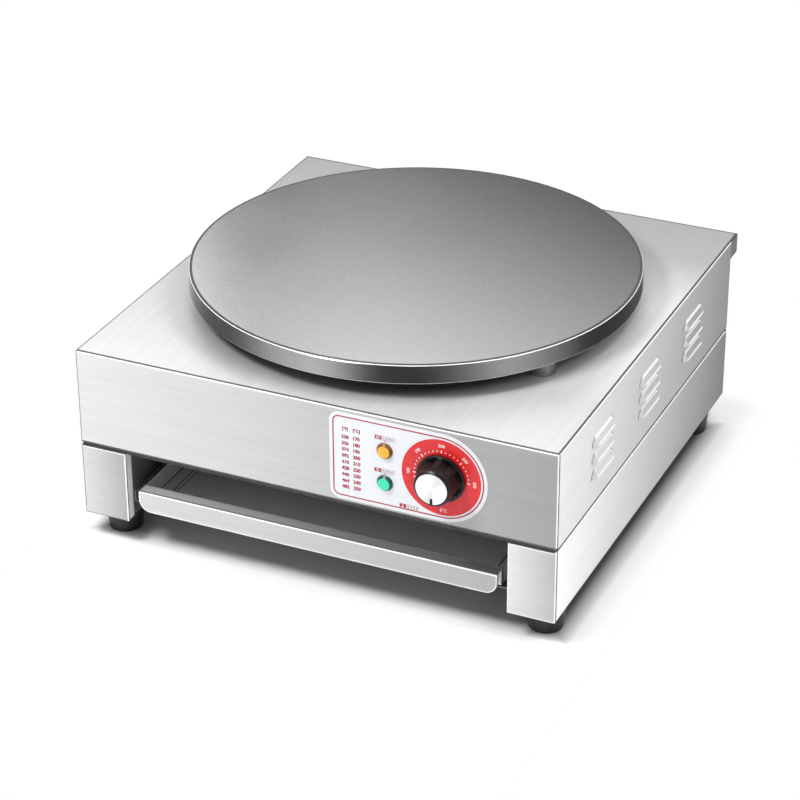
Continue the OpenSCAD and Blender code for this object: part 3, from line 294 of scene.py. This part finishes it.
class Sheet(Shader):
    """Folded sheet: where its points are, which way its faces look, and their painted tones and lines of light
    and shade.
    """

    def __init__(self, name):
        super().__init__(name)
        self.right, self.back, self.up = self.split(self.where["Object"])
        self.aside = self.size(self.right)
        self.normal = self.split(self.where["Normal"])
        self.x, self.y, self.z = self.split(self.vector("ABSOLUTE", self.where["Normal"]))
        self.sideways = self.above(self.x, LOOKS)
        self.forward = self.above(self.y, LOOKS)
        self.level = self.above(self.z, LOOKS)
        self.on_top = self.above(self.z, LOOKS_UP)

    def forward_tones(self, front, leg, facing):
        """Painted light and shade on forward faces: duller by front from left to right and by leg across each
        front leg. Paler by facing all over.
        """
        on_leg = self.minus(self.right, self.times(self.math("SIGN", self.right), LEG_CENTRE))
        return self.plus(self.times(self.right, -front / HALF_BODY), self.times(on_leg, -leg / HALF_LEG),
                         facing)

    def backward_tones(self, tone):
        """Painted shade, duller from front to back: by TOP_TONE on level faces and by tone on the others."""
        return self.times(self.back, self.mix(self.level, -tone / HALF_BODY, -TOP_TONE / HALF_BODY))

    def tray_tones(self):
        """Painted light and shade: a ledge that gets duller to the right, and a pan that gets duller to the
        rear.
        """
        pan = self.plus(self.ramp(self.back, *LEDGE, *LEDGE_TONES),
                        self.ramp(self.back, *PAN_REAR, *PAN_REAR_TONES))
        on_ledge = self.ramp(self.back, *LEDGE[::-1])
        return self.plus(pan, self.times(on_ledge, self.ramp(self.right, *LEDGE_ENDS, *LEDGE_END_TONES)))

    def hood_tones(self):
        """A painted shadow that makes the top duller under the plate, and painted light that makes it paler in
        a strip to the plate's right.
        """
        from_plate = self.vector("SUBTRACT", self.where["Object"], node_centre("griddle_plate"))
        from_plate = self.vector("LENGTH", self.vector("MULTIPLY", from_plate, (1, 1, 0)))
        covered = self.ramp(from_plate, *PLATE_SHADE, UNDER_PLATE, 0.0, smooth=True)
        pale = self.ramp(self.right, *PALE_X, 0.0, PALE_STRIP)
        for ends in PALE_Y:
            pale = self.times(pale, self.ramp(self.back, *ends))
        return self.times(self.level, self.minus(pale, covered))

    def rubbed_edges(self, color, hood):
        """How much of an edge each point is, and its painted colour: a painted highlight, or a painted dark
        line on level faces, at the ends and foot of sideways faces, and near the left end of forward ones."""
        folded = self.below(self.aside, HOOD_SIDE) if hood else 1.0
        broad = self.most(self.on_top, self.times(self.sideways, 0.5))
        edge, (bent_x, bent_y, bent_z) = self.edges(broad, self.most(self.x, self.y, self.z), folded)
        under = self.below(self.least(bent_z, self.normal[2]), -LEAN)
        corner = self.most(self.above(self.most(self.size(bent_y), self.y), LEAN), under)
        left = self.most(self.below(self.least(bent_x, self.normal[0]), -LEAN), under)
        left = self.times(left, self.below(self.right, LEFT_END))
        dark = self.mix(self.forward, self.times(self.sideways, corner), left)
        return edge, self.mix_color(self.most(self.on_top, dark), grey(PALE_EDGE), tint(color, DARK_EDGE))

    def side_ends(self, edge, edge_light_and_shade, color, rear, bottom):
        """Painted dark lines of shade at the rear and the bottom of sideways faces."""
        ends = self.most(self.above(self.back, rear - SIDE_LINE), self.below(self.up, bottom + BOTTOM_LINE))
        ends = self.times(ends, self.sideways)
        return self.most(edge, ends), self.mix_color(ends, edge_light_and_shade, tint(color, DARK_END))

    def hood_lines(self, edge, edge_light_and_shade, color):
        """Painted lines round the hood's top, painted shade along the fascia's foot, and painted highlights on
        the louvres' folds and lips, with a painted tone on their ends.
        """
        low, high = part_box("hood")
        rim = self.most(self.above(self.back, high.y - REAR_LINE), self.below(self.back, low.y + TOP_LINE))
        rim = self.most(self.above(self.aside, HOOD_SIDE - TOP_LINE), rim)
        edge = self.most(edge, self.times(rim, self.above(self.normal[2], LOOKS_UP)))
        hem = self.times(self.below(self.up, SEAM_Z + 2 * HEM_LINE),
                         self.below(self.aside, HOOD_SIDE - TOP_LINE))
        edge = self.times(edge, self.minus(1.0, self.times(self.forward, hem)))
        foot = self.times(self.forward, self.below(self.up, SEAM_Z + HEM_LINE))
        edge = self.most(edge, foot)
        edge_light_and_shade = self.mix_color(foot, edge_light_and_shade, tint(color, DARK_FOOT))
        proud = self.minus(self.aside, HOOD_SIDE)
        on_louvre = self.above(proud, 0.0)
        fold = self.times(on_louvre, self.below(proud, LOUVRE_FOLD))
        ends = self.times(on_louvre, self.above(self.y, LOUVRE_END))
        edge = self.most(edge, self.most(fold, self.above(proud, LOUVRE_LIP), ends))
        louvre = self.mix_color(ends, grey(LOUVRE_PALE), tint(color, LOUVRE_END_TINT))
        return edge, self.mix_color(on_louvre, edge_light_and_shade, louvre)


def brushed(name, color, tone=0.0, front=0.0, leg=0.0, facing=0.0, edge_line_share=1.0, ends_at=None, hood=False,
            tray=False):
    """Brushed sheet. The lines run from front to back, and across on faces that look forwards. For tone, front,
    leg and facing, which paint light and shade along the faces, see backward_tones and forward_tones. The
    painted edge lines, highlights and dark lines, show by the share passed for them. ends_at is the rear and
    the bottom of sideways faces that end in painted dark lines. The hood and the tray have painted tones of
    their own."""
    s = Sheet(name)
    behind = s.tray_tones() if tray else s.backward_tones(tone)
    tones = s.mix(s.forward, behind, s.forward_tones(front, leg, facing))
    if hood:
        tones = s.plus(tones, s.hood_tones())
    lengthwise = s.mix_vector(s.forward, s.mapped((ACROSS, ALONG, ACROSS)),
                              s.mapped((ALONG, ACROSS, ACROSS)))
    fine = s.noise(lengthwise, 1.0, 3.0, 0.6)
    coarse = s.noise(lengthwise, 0.22, 2.0)
    clouds = s.noise(s.mapped(5), 1.0, 2.0)
    lines = s.plus(s.times(fine, 0.65), s.times(coarse, 0.35))
    satin = s.mix_color(s.spread(lines, 0, 1), tint(color, 1 - GRAIN), tint(color, 1 + GRAIN))
    # painted light and shade: the tones scale the satin colour
    satin = s.scaled(satin, s.plus(tones, 1.0))
    # painted highlights and painted dark lines on edges and folds
    edge, edge_light_and_shade = s.rubbed_edges(color, hood)
    if ends_at:
        edge, edge_light_and_shade = s.side_ends(edge, edge_light_and_shade, color, *ends_at)
    if hood:
        edge, edge_light_and_shade = s.hood_lines(edge, edge_light_and_shade, color)
    edge = s.times(edge, edge_line_share)
    rough = s.plus(s.spread(lines, ROUGH - 0.05, ROUGH + 0.05), s.spread(clouds, -0.02, 0.02))
    s.set(Base_Color=s.mix_color(edge, satin, edge_light_and_shade), Metallic=s.mix(edge, METAL, 0.0),
          Roughness=s.mix(edge, rough, 0.4))
    s.bump(lines, 0.12)
    return s.material


def plain(name, color, rough=0.45, metal=0.0, grain=900.0, bump=0.15, vary=0.05, **more):
    """A moulded, cast, turned or coated surface with a fine grain."""
    s = Shader(name)
    fine = s.noise(s.mapped(grain), 1.0, 3.0)
    clouds = s.noise(s.mapped(40), 1.0, 2.0)
    rough = s.plus(s.spread(fine, rough - 0.04, rough + 0.04), s.spread(clouds, -0.03, 0.03))
    s.set(Base_Color=s.mix_color(s.spread(clouds, 0, 1), tint(color, 1 - vary), tint(color, 1 + vary)),
          Metallic=metal, Roughness=rough, **more)
    s.bump(fine, bump)
    return s.material


def machined_plate(name, centre):
    """The griddle's turned and seasoned iron: fine rings and soft grain, painted shade that makes the top
    duller to the right and the back, and a rim with painted reflections in light and dark stretches between
    painted highlight lines."""
    s = Shader(name)
    x, y, z = s.around(centre)
    radius = s.vector("LENGTH", s.joined(x, y))
    rings = s.noise(s.joined(s.times(radius, PLATE_RINGS)), 1.0, 1.0)
    grain = s.noise(s.mapped(1400), 1.0, 3.0, 0.7)
    clouds = s.noise(s.mapped(9), 1.0, 2.0)
    lines = s.plus(s.times(rings, 0.2), s.times(grain, 0.8))
    tone = s.math("ADD", s.spread(lines, -0.1, 1.1), s.spread(clouds, -0.15, 0.15), clamp=True)
    # painted shade: the top gets duller to the right and to the back
    tones = s.plus(s.times(x, -PLATE_TONE / PLATE_R), s.times(y, -PLATE_TONE_BACK / PLATE_R))
    top = s.scaled(s.mix_color(tone, tint(PLATE, 0.95), tint(PLATE, 1.05)), s.plus(tones, 1.0))
    # painted reflections: light and dark stretches round the rim
    turn = s.math("ARCTAN2", y, x)
    dark_end = s.times(*(s.ramp(turn, *ends) for ends in RIM_DARK))
    rim_reflection = s.ramp(s.waves(turn, RIM_WAVES), -1.2, 1.2, smooth=True)
    rim_reflection = s.times(rim_reflection, s.minus(1.0, s.times(dark_end, 0.9)))
    side = s.mix_color(rim_reflection, *(tint(color) for color in RIM_COLORS))
    up = s.split(s.where["Normal"])[2]
    on_top = s.above(up, 0.8)
    # painted lines: highlights on the chamfer and at the rim's foot, and dark lines at the top's edge and in a
    # ring on top
    edge, _ = s.edges(on_top, s.most(s.size(up), s.minus(1.0, s.size(up))))
    between = s.times(s.below(z, PLATE_HALF_H - CHAMFER_LINE), s.above(z, RIM_FOOT - PLATE_HALF_H))
    edge = s.times(edge, s.minus(1.0, between))
    ring = s.times(s.above(radius, PLATE_R - RIM_LINE), s.above(z, PLATE_HALF_H - RIM_DEPTH))
    edge = s.most(edge, ring)
    edge_light_and_shade = s.mix_color(ring, s.mix_color(on_top, grey(0.9), grey(0.04)), grey(0.03))
    base = s.mix_color(on_top, side, top)
    rough = s.plus(s.spread(lines, 0.22, 0.3), s.spread(clouds, -0.02, 0.02),
                   s.times(dark_end, s.mix(on_top, 0.35, 0.0)))
    s.set(Base_Color=s.mix_color(edge, base, edge_light_and_shade), Metallic=s.mix(edge, 1.0, 0.0),
          Roughness=s.mix(edge, rough, 0.4))
    s.bump(lines, 0.12)
    return s.material


def spun_cap(name, color, centre, reach):
    """A spun aluminium disc: fine rings, a painted sheen in soft light and dark sectors, and a painted pointer
    from its rim, which is as far from the centre as reach."""
    s = Shader(name)
    x, _, z = s.around(centre)
    rings = s.noise(s.joined(s.times(s.vector("LENGTH", s.joined(x, z)), CAP_RINGS)), 1.0, 1.0)
    # painted sheen: soft light and dark sectors round the cap
    sheen = s.ramp(s.waves(s.math("ARCTAN2", z, x), CAP_WAVES), -1.0, 0.6)
    disc = s.mix_color(sheen, tint(color, 0.72), tint(color))
    pointer = s.times(s.below(s.size(x), POINTER_W / 2), s.below(z, POINTER_L - reach))
    s.set(Base_Color=s.mix_color(pointer, disc, grey(0.01)), Metallic=s.mix(pointer, 0.35, 0.0),
          Roughness=s.spread(rings, 0.3, 0.42))
    s.bump(rings, 0.08, 0.0001)
    return s.material


def lamp_glass(name, color, ring, centre):
    """A translucent lens: a clear flat face over a bevel in a darker colour, painted shade."""
    s = Shader(name)
    x, _, z = s.around(centre)
    # painted shade: the bevel takes the darker ring colour
    bevel = s.ramp(s.vector("LENGTH", s.joined(x, z)), LENS_FACE_R * 0.93, LENS_FACE_R * 1.03)
    ribs = s.noise(s.mapped(420), 1.0, 1.0)
    base = s.mix_color(s.spread(ribs, 0, 1), tint(color, 0.94), tint(color, 1.06))
    s.set(Base_Color=s.mix_color(bevel, base, tint(ring)), Roughness=s.mix(bevel, 0.3, 0.38),
          Coat_Weight=0.1, Subsurface_Weight=0.15, Subsurface_Scale=0.002)
    s.bump(ribs, 0.06, 0.0003)
    return s.material


def assign(material, *nodes):
    for name in nodes:
        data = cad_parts[name].data
        data.materials.clear()
        data.materials.append(material)


def node_centre(name):
    low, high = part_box(name)
    return (low + high) / 2


def dress_nodes():
    # Brushed sheets carry painted light and shade: tones along their faces, and edge lines by the share given
    # for them
    assign(brushed("hood_steel", STEEL, tone=0.54, front=0.36, ends_at=(HOOD_REAR, HOOD_FOOT), hood=True),
           "hood")
    low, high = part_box("right_side_frame")
    assign(brushed("frame_steel", tint(STEEL, 1.08)[:3], tone=0.7, leg=0.26, ends_at=(high.y, low.z)),
           "left_side_frame", "right_side_frame")
    assign(brushed("panel_steel", (0.42, 0.42, 0.425)), "rear_panel")
    # painted shade: the chassis plate's forward faces, in the recessed joint under the hood, are made nearly
    # black by facing
    assign(brushed("chassis_steel", (0.45, 0.45, 0.453), facing=-0.93, edge_line_share=0.0), "chassis_plate")
    # painted shade: the inner panels, runners and element cover are coloured dark for the shade inside the body
    assign(brushed("inner_steel", (0.12, 0.12, 0.123), edge_line_share=0.6), "left_inner_panel", "right_inner_panel",
           "left_runner", "right_runner", "element_cover")
    assign(brushed("tray_steel", STEEL, front=0.25, tray=True), "tray")
    assign(plain("zinc", (0.6, 0.6, 0.61), 0.3, 1.0), "runner_rivets", "hood_screws",
           "inner_panel_screws", "frame_nuts", "rear_panel_screws", "rear_panel_nuts", "foot_screws",
           "foot_nuts", "support_washers", "support_nuts", "cover_screws", "thermostat_screws",
           "terminal_block_fixings", "bonding_stud", "bonding_nuts", "thermostat_shaft")
    assign(plain("support_steel", (0.22, 0.22, 0.22), 0.45, 1.0, grain=500, bump=0.5), "front_left_support",
           "front_right_support", "rear_support")
    assign(plain("foot_rubber", (0.008, 0.008, 0.009), 0.38, grain=700, bump=0.3), "front_left_foot",
           "front_right_foot", "rear_left_foot", "rear_right_foot", "capillary_grommet")
    assign(machined_plate("plate_iron", node_centre("griddle_plate")), "griddle_plate")
    assign(plain("element_sheath", (0.12, 0.115, 0.11), 0.5, 0.8), "heating_element")
    assign(plain("ceramic", (0.72, 0.69, 0.62), 0.6), "element_bushes", "thermostat_body")
    assign(plain("insulation", (0.6, 0.56, 0.47), 0.9, bump=0.5), "insulation_disc")
    assign(plain("copper", (0.7, 0.34, 0.2), 0.35, 1.0), "thermostat_bulb", "thermostat_capillary")
    assign(plain("brass", (0.7, 0.5, 0.2), 0.3, 1.0), "terminal_clamps")
    assign(plain("knob_plastic", (0.004, 0.004, 0.0045), 0.34, bump=0.1, Specular_IOR_Level=0.3), "knob")
    low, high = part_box("knob_cap")
    assign(spun_cap("cap_metal", (0.95, 0.95, 0.96), node_centre("knob_cap"), (high.z - low.z) / 2),
           "knob_cap")
    assign(plain("label_film", (0.72, 0.74, 0.77), 0.4, bump=0.04, vary=0.01), "control_label")
    assign(plain("lamp_moulding", (0.7, 0.68, 0.6)), "amber_lamp_body", "green_lamp_body", "terminal_block")
    assign(plain("black_moulding", (0.02, 0.02, 0.021), 0.4, bump=0.25), "lamp_nuts",
           "cable_gland_body", "cable_gland_dome", "cable_gland_locknut")
    for name, color in (("live", (0.22, 0.08, 0.03)), ("neutral", (0.03, 0.12, 0.5))):
        assign(plain(name + "_insulation", color, 0.4), name + "_wires")
    assign(plain("earth_insulation", (0.35, 0.5, 0.04), 0.4), "earth_wire")
    # each lens's colour, and the darker colour painted on its bevel as shade
    for name, color, ring in (("amber", (0.88, 0.4, 0.02), (0.16, 0.055, 0.0)),
                              ("green", (0.02, 0.7, 0.42), (0.003, 0.06, 0.04))):
        assign(lamp_glass(name + "_glass", color, ring, node_centre(name + "_lens")), name + "_lens")


# ---- Printed label, in millimetres from the object's middle and above the seam ----

FASCIA_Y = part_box("control_label")[1].y
LABEL_TOP = 0.4 * MM            # how far the label's face is from the fascia
PRINT = 0.03 * MM               # how thick one layer of print is
DIAL = (119.5, 45.0)
DIAL_DISC_R, DIAL_HOLE_R = 35.4, 6.0
DIAL_STEPS = ((100, 180), (150, 135), (200, 90), (250, 45), (300, 0))   # each figure and its angle
FIGURE_R, FIGURE_H = 29.6, 2.9
ZERO_AT, ZERO_H = (2.0, -30.4), 3.2     # the words 0°C, from the dial's centre
MARK_R, MARK_L, MARK_W = 24.3, 2.6, 1.0
DOT_STEP, DOTS, DOT_R = 9, 4, 0.62      # dots between two figures: degrees apart, how many, and how large
FIRST_DOT = 190
BORDER_INSET = 3.0
BORDER_W = 1.2
LABEL_LEFT, LABEL_R, LABEL_CORNER = 18.5, 41.0, 9.0
TABLE_X = (33.0, 43.4)
TABLE_HEAD, TABLE_TOP, TABLE_PITCH, TABLE_ROWS = 71, 63.6, 5.9, 9
HEAD_H, ROW_H = 4.0, 3.6
FIRST_CELSIUS, CELSIUS_STEP = 170, 10
TAGS = ((59.9, 78.4, 70.2), (59.5, 77.9, 39.4), (82.0, 98.7, 10.4))     # left, right and height of each
TAG_H, TAG_HEAD = 3.6, 5.8      # a tag's height, and the width of its solid part
TAG_LINE = 0.35
TAG_POINT = (0.9, 2.3, 3.6)     # the arrow under a lamp's tag: half its width, and where it starts and ends
STROKE_STEP, STROKE, STROKE_TURN = 1.2, (0.5, 2.2), -14
RING_R = (1.25, 0.8)
BULB_R, BULB_DROP, STEM, STEM_RISE = 0.75, 0.8, (0.6, 2.0), 0.5
DASH_FROM, DASH_STEP, DASHES, DASH = 8.0, 2.6, 4, (1.6, 1.0)


def label_point(x, z, out=0.0):
    """A place on the label, and metres out of its face."""
    return Vector((x * MM, FASCIA_Y - LABEL_TOP - out, SEAM_Z + z * MM))


def stick(name, bm, material):
    """A piece of print, which rides with the body."""
    data = bpy.data.meshes.new(name)
    bm.to_mesh(data)
    bm.free()
    data.materials.append(material)
    piece = bpy.data.objects.new(name, data)
    bpy.context.scene.collection.objects.link(piece)
    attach(piece, "body")


def prism(bm, outline, low, high):
    """A closed flat print between two heights over the label."""
    rings = [[bm.verts.new(label_point(x, z, h)) for x, z in outline] for h in (low, high)]
    bm.faces.new(rings[1])
    bm.faces.new(rings[0][::-1])
    count = len(outline)
    for i in range(count):
        j = (i + 1) % count
        bm.faces.new((rings[0][i], rings[0][j], rings[1][j], rings[1][i]))


def band(bm, outer, inner, low, high):
    """A closed flat ring between two outlines with as many points."""
    count = len(outer)
    low_out, high_out, low_in, high_in = [[bm.verts.new(label_point(x, z, h)) for x, z in line]
                                          for line in (outer, inner) for h in (low, high)]
    for i in range(count):
        j = (i + 1) % count
        bm.faces.new((high_out[i], high_out[j], high_in[j], high_in[i]))
        bm.faces.new((low_out[j], low_out[i], low_in[i], low_in[j]))
        bm.faces.new((low_out[i], low_out[j], high_out[j], high_out[i]))
        bm.faces.new((low_in[j], low_in[i], high_in[i], high_in[j]))


def print_piece(name, draw, material):
    bm = bmesh.new()
    draw(bm)
    bmesh.ops.recalc_face_normals(bm, faces=bm.faces)
    stick(name, bm, material)


def circle(x, z, r, count=96, start=0.0, end=360.0):
    full = end - start >= 360
    steps = count if full else count + 1
    return [(x + r * math.cos(math.radians(start + (end - start) * i / count)),
             z + r * math.sin(math.radians(start + (end - start) * i / count))) for i in range(steps)]


def turned(x, z, angle):
    """Takes a point beside (x, z), turned by the angle, to its place on the label."""
    c, s = math.cos(math.radians(angle)), math.sin(math.radians(angle))
    return lambda u, v: (x + u * c - v * s, z + u * s + v * c)


def rectangle(x, z, w, h, angle=0.0):
    at = turned(x, z, angle)
    return [at(-w / 2, -h / 2), at(w / 2, -h / 2), at(w / 2, h / 2), at(-w / 2, h / 2)]


def on_dial(r, angle):
    return DIAL[0] + r * math.cos(math.radians(angle)), DIAL[1] + r * math.sin(math.radians(angle))


def figure_mesh(text, bold):
    """One word as a flat mesh, in units of its font."""
    curve = bpy.data.curves.new("figure", "FONT")
    curve.body = text
    curve.size = 1.0
    curve.align_x = curve.align_y = "CENTER"
    curve.resolution_u = 4
    curve.offset = bold
    source = bpy.data.objects.new("figure", curve)
    bpy.context.scene.collection.objects.link(source)
    mesh = bpy.data.meshes.new_from_object(source.evaluated_get(bpy.context.evaluated_depsgraph_get()))
    bpy.data.objects.remove(source)
    bpy.data.curves.remove(curve)
    flat = bmesh.new()
    flat.from_mesh(mesh)
    bpy.data.meshes.remove(mesh)
    return flat


def lettering(name, words, material, raise_by, bold):
    """Figures cut as solid print: each entry is (text, x, z, height, angle)."""
    bm = bmesh.new()
    for text, x, z, height, angle in words:
        flat = figure_mesh(text, bold)
        us = [v.co.x for v in flat.verts]
        vs = [v.co.y for v in flat.verts]
        middle = ((max(us) + min(us)) / 2, (max(vs) + min(vs)) / 2)
        scale = height / (max(vs) - min(vs))
        at = turned(x, z, angle)
        geometry = bmesh.ops.extrude_face_region(flat, geom=list(flat.faces))["geom"]
        top = {v for v in geometry if isinstance(v, bmesh.types.BMVert)}
        for v in flat.verts:
            px, pz = at((v.co.x - middle[0]) * scale, (v.co.y - middle[1]) * scale)
            v.co = label_point(px, pz, raise_by + (PRINT if v in top else 0.0))
        bmesh.ops.recalc_face_normals(flat, faces=flat.faces)
        part = bpy.data.meshes.new("figure")
        flat.to_mesh(part)
        flat.free()
        bm.from_mesh(part)
        bpy.data.meshes.remove(part)
    stick(name, bm, material)


def label_outline(inset):
    r, corner = LABEL_R - inset, LABEL_CORNER - inset
    left = LABEL_LEFT + LABEL_CORNER
    x, z = DIAL
    return (circle(x, z, r, 72, -90, 90)
            + circle(left, z + LABEL_R - LABEL_CORNER, corner, 12, 90, 180)
            + circle(left, z - LABEL_R + LABEL_CORNER, corner, 12, 180, 270))


def label_border(bm):
    band(bm, label_outline(BORDER_INSET), label_outline(BORDER_INSET + BORDER_W), 0, PRINT)


def dial_disc(bm):
    band(bm, circle(*DIAL, DIAL_DISC_R), circle(*DIAL, DIAL_HOLE_R), 0, PRINT)


def dial_marks(bm):
    """A stroke at each figure, and dots after it."""
    def dot(angle):
        prism(bm, circle(*on_dial(MARK_R, angle), DOT_R, 12), PRINT, 2 * PRINT)

    for _, angle in DIAL_STEPS:
        prism(bm, rectangle(*on_dial(MARK_R, angle), MARK_L, MARK_W, angle), PRINT, 2 * PRINT)
        for k in range(DOTS if angle else 0):
            dot(angle - (k + 1) * DOT_STEP)
    dot(FIRST_DOT)


def lamp_tags(bm):
    """Frames with a solid left part, and an arrow under the two that stand over a lamp."""
    for left, right, height in TAGS:
        prism(bm, rectangle(left + TAG_HEAD / 2, height, TAG_HEAD, TAG_H), 0, PRINT)
        middle, width = (left + right) / 2, right - left - TAG_HEAD
        outer = rectangle(middle + TAG_HEAD / 2, height, width, TAG_H)
        inner = rectangle(middle + TAG_HEAD / 2, height, width - 2 * TAG_LINE, TAG_H - 2 * TAG_LINE)
        band(bm, outer, inner, 0, PRINT)
        if height > 20:
            half, start, end = TAG_POINT
            arrow = [(middle - half, height - start), (middle, height - end), (middle + half, height - start)]
            prism(bm, arrow, 0, PRINT)


def tag_signs(bm):
    """Three strokes, a ring and a thermometer bulb."""
    strokes, ring, bulb = ((left + TAG_HEAD / 2, height) for left, _, height in TAGS)
    for step in (-STROKE_STEP, 0, STROKE_STEP):
        prism(bm, rectangle(strokes[0] + step, strokes[1], *STROKE, STROKE_TURN), PRINT, 2 * PRINT)
    band(bm, *(circle(*ring, r, 24) for r in RING_R), PRINT, 2 * PRINT)
    prism(bm, circle(bulb[0], bulb[1] - BULB_DROP, BULB_R, 16), PRINT, 2 * PRINT)
    prism(bm, rectangle(bulb[0], bulb[1] + STEM_RISE, *STEM), PRINT, 2 * PRINT)


def tag_dashes(bm):
    for left, _, height in TAGS:
        for k in range(DASHES):
            prism(bm, rectangle(left + DASH_FROM + k * DASH_STEP, height, *DASH), 0, PRINT)


def dress_label():
    crimson = plain("crimson_ink", CRIMSON, 0.35, bump=0.03, vary=0.03)
    red = plain("red_ink", RED, 0.3, bump=0.03, vary=0.03)
    white = plain("white_ink", (0.82, 0.82, 0.83), 0.35, bump=0.03, vary=0.01)
    dull = plain("grey_ink", (0.1, 0.1, 0.11), 0.4, bump=0.03, vary=0.02)
    print_piece("label_border", label_border, crimson)
    print_piece("dial_disc", dial_disc, red)
    print_piece("dial_marks", dial_marks, white)
    figures = [(str(value), *on_dial(FIGURE_R, angle), FIGURE_H, angle - 90) for value, angle in DIAL_STEPS]
    figures.append(("0°C", DIAL[0] + ZERO_AT[0], DIAL[1] + ZERO_AT[1], ZERO_H, 0))
    lettering("dial_figures", figures, white, PRINT, 0.02)
    words = [("[°F]", TABLE_X[0], TABLE_HEAD, HEAD_H, 0), ("[°C]", TABLE_X[1], TABLE_HEAD, HEAD_H, 0)]
    for i in range(TABLE_ROWS):
        height = TABLE_TOP - i * TABLE_PITCH
        celsius = FIRST_CELSIUS + i * CELSIUS_STEP
        words.append((str(celsius * 9 // 5 + 32), TABLE_X[0], height, ROW_H, 0))
        words.append((str(celsius), TABLE_X[1], height, ROW_H, 0))
    lettering("temperature_table", words, crimson, 0, 0.055)
    print_piece("lamp_tags", lamp_tags, crimson)
    print_piece("tag_signs", tag_signs, white)
    print_piece("tag_dashes", tag_dashes, dull)


# ---- Stage and light ----

FLOOR_REACH = 9.0
# How far out of the footprint (below 0, inside it) the floor changes
UNDER = (-0.03, -0.05)          # into the painted shadow under the object
UNDER_WIDER = 0.034             # by which that painted shadow is wider at the sides
UNDER_SIDE = (-0.055, -0.02)    # into a darker painted shadow at the sides
SHADOW_REACH = (0.0, 0.032)     # into plain white
TRAY_TRAVEL = 0.3               # the floor keeps the open tray's shadow too
HORIZON, DOME = 1.0, 0.35
HORIZON_BAND = (0.05, 0.25)

# name, place, what it faces, width, height, watts
LIGHTS = (
    ("back_middle", (-0.4, 1.5, 1.3), (0, -0.1, 0.2), 0.9, 0.6, 2.25),
    ("back_left_high", (-1.0, 1.2, 2.1), (0, -0.1, 0.2), 1.0, 0.8, 5.5),
    ("back_left", (-1.1, 1.0, 1.1), (0, -0.1, 0.2), 0.6, 0.6, 2.0),
    ("front_left_near", (-0.5, -0.6, 0.45), (-0.18, -0.2, 0.12), 0.3, 0.25, 0.3),
    ("front_left_high", (-0.36, -0.8, 1.2), (-0.15, -0.15, 0.19), 0.4, 0.3, 13.5),
    ("right_near", (0.6, -0.4, 0.4), (0.22, -0.15, 0.09), 0.3, 0.2, 0.06),
    ("right_high", (0.9, -0.35, 0.9), (0.2, -0.15, 0.15), 0.4, 0.4, 4.8),
    ("back_right_high", (0.6, 0.15, 1.4), (0.15, -0.05, 0.2), 0.4, 0.4, 5.6),
)


def floor_material():
    """White, lit and shaded near the object, with a painted shadow under it that is darker near its sides.
    Further out, it is plain white to the camera and in metal and glass."""
    s = Shader("floor_white")
    low, high = cad_box
    centre, half = (low + high) / 2, (high - low) / 2
    place = s.vector("ABSOLUTE", s.vector("SUBTRACT", s.where["Object"], centre))
    x, y, _ = s.split(s.vector("SUBTRACT", place, half))
    # painted shadow: the floor's colour darkens under the object, most near its sides
    under = s.ramp(s.most(s.minus(x, UNDER_WIDER), y), *UNDER)
    pale = s.mix_color(s.noise(s.mapped(3), 1.0, 2.0), grey(0.93), grey(0.94))
    shade = s.mix_color(s.ramp(x, *UNDER_SIDE), grey(0.44), grey(0.09))
    s.set(Base_Color=s.mix_color(under, pale, shade), Roughness=0.9)
    in_front = s.below(s.split(s.where["Object"])[1], 0.0)
    y = s.minus(y, s.times(in_front, TRAY_TRAVEL))
    x, y, _ = s.split(s.vector("MAXIMUM", s.joined(x, y), (0, 0, 0)))
    open_floor = s.ramp(s.vector("LENGTH", s.joined(x, y)), *SHADOW_REACH, smooth=True)
    rays = s.node("ShaderNodeLightPath").outputs
    seen = s.most(rays["Is Camera Ray"], rays["Is Glossy Ray"], rays["Is Transmission Ray"])
    white = s.node("ShaderNodeEmission", {"Strength": 1.0}).outputs[0]
    both = s.node("ShaderNodeMixShader", {0: s.times(seen, open_floor), 1: s.surface.outputs[0], 2: white})
    s.put(s.out, 0, both.outputs[0])
    return s.material


def make_floor():
    bm = bmesh.new()
    bmesh.ops.create_grid(bm, x_segments=8, y_segments=8, size=FLOOR_REACH)
    data = bpy.data.meshes.new("floor")
    bm.to_mesh(data)
    bm.free()
    data.materials.append(floor_material())
    floor = bpy.data.objects.new("floor", data)
    bpy.context.scene.collection.objects.link(floor)


def make_world():
    """A plain dome that pales to white at the horizon."""
    world = bpy.data.worlds.new("studio")
    bpy.context.scene.world = world
    world.use_nodes = True
    tree = world.node_tree
    place = tree.nodes.new("ShaderNodeTexCoord").outputs["Generated"]
    split = tree.nodes.new("ShaderNodeSeparateXYZ")
    tree.links.new(place, split.inputs[0])
    rise = tree.nodes.new("ShaderNodeMapRange")
    rise.interpolation_type = "SMOOTHSTEP"
    for key, value in enumerate((*HORIZON_BAND, HORIZON, DOME), 1):
        rise.inputs[key].default_value = value
    tree.links.new(split.outputs[2], rise.inputs[0])
    background = tree.nodes["Background"]
    background.inputs["Color"].default_value = (1, 1, 1, 1)
    tree.links.new(rise.outputs[0], background.inputs["Strength"])


def make_lights():
    for name, place, target, width, height, watts in LIGHTS:
        data = bpy.data.lights.new(name, "AREA")
        data.shape = "RECTANGLE"
        data.size, data.size_y = width, height
        data.energy = watts
        lamp = bpy.data.objects.new(name, data)
        bpy.context.scene.collection.objects.link(lamp)
        lamp.location = place
        lamp.visible_camera = False
        aim = Vector(target) - Vector(place)
        lamp.rotation_euler = aim.to_track_quat("-Z", "Y").to_euler()


make_camera()
dress_nodes()
dress_label()
make_floor()
make_world()
make_lights()

view = bpy.context.scene.view_settings
view.view_transform = "Standard"
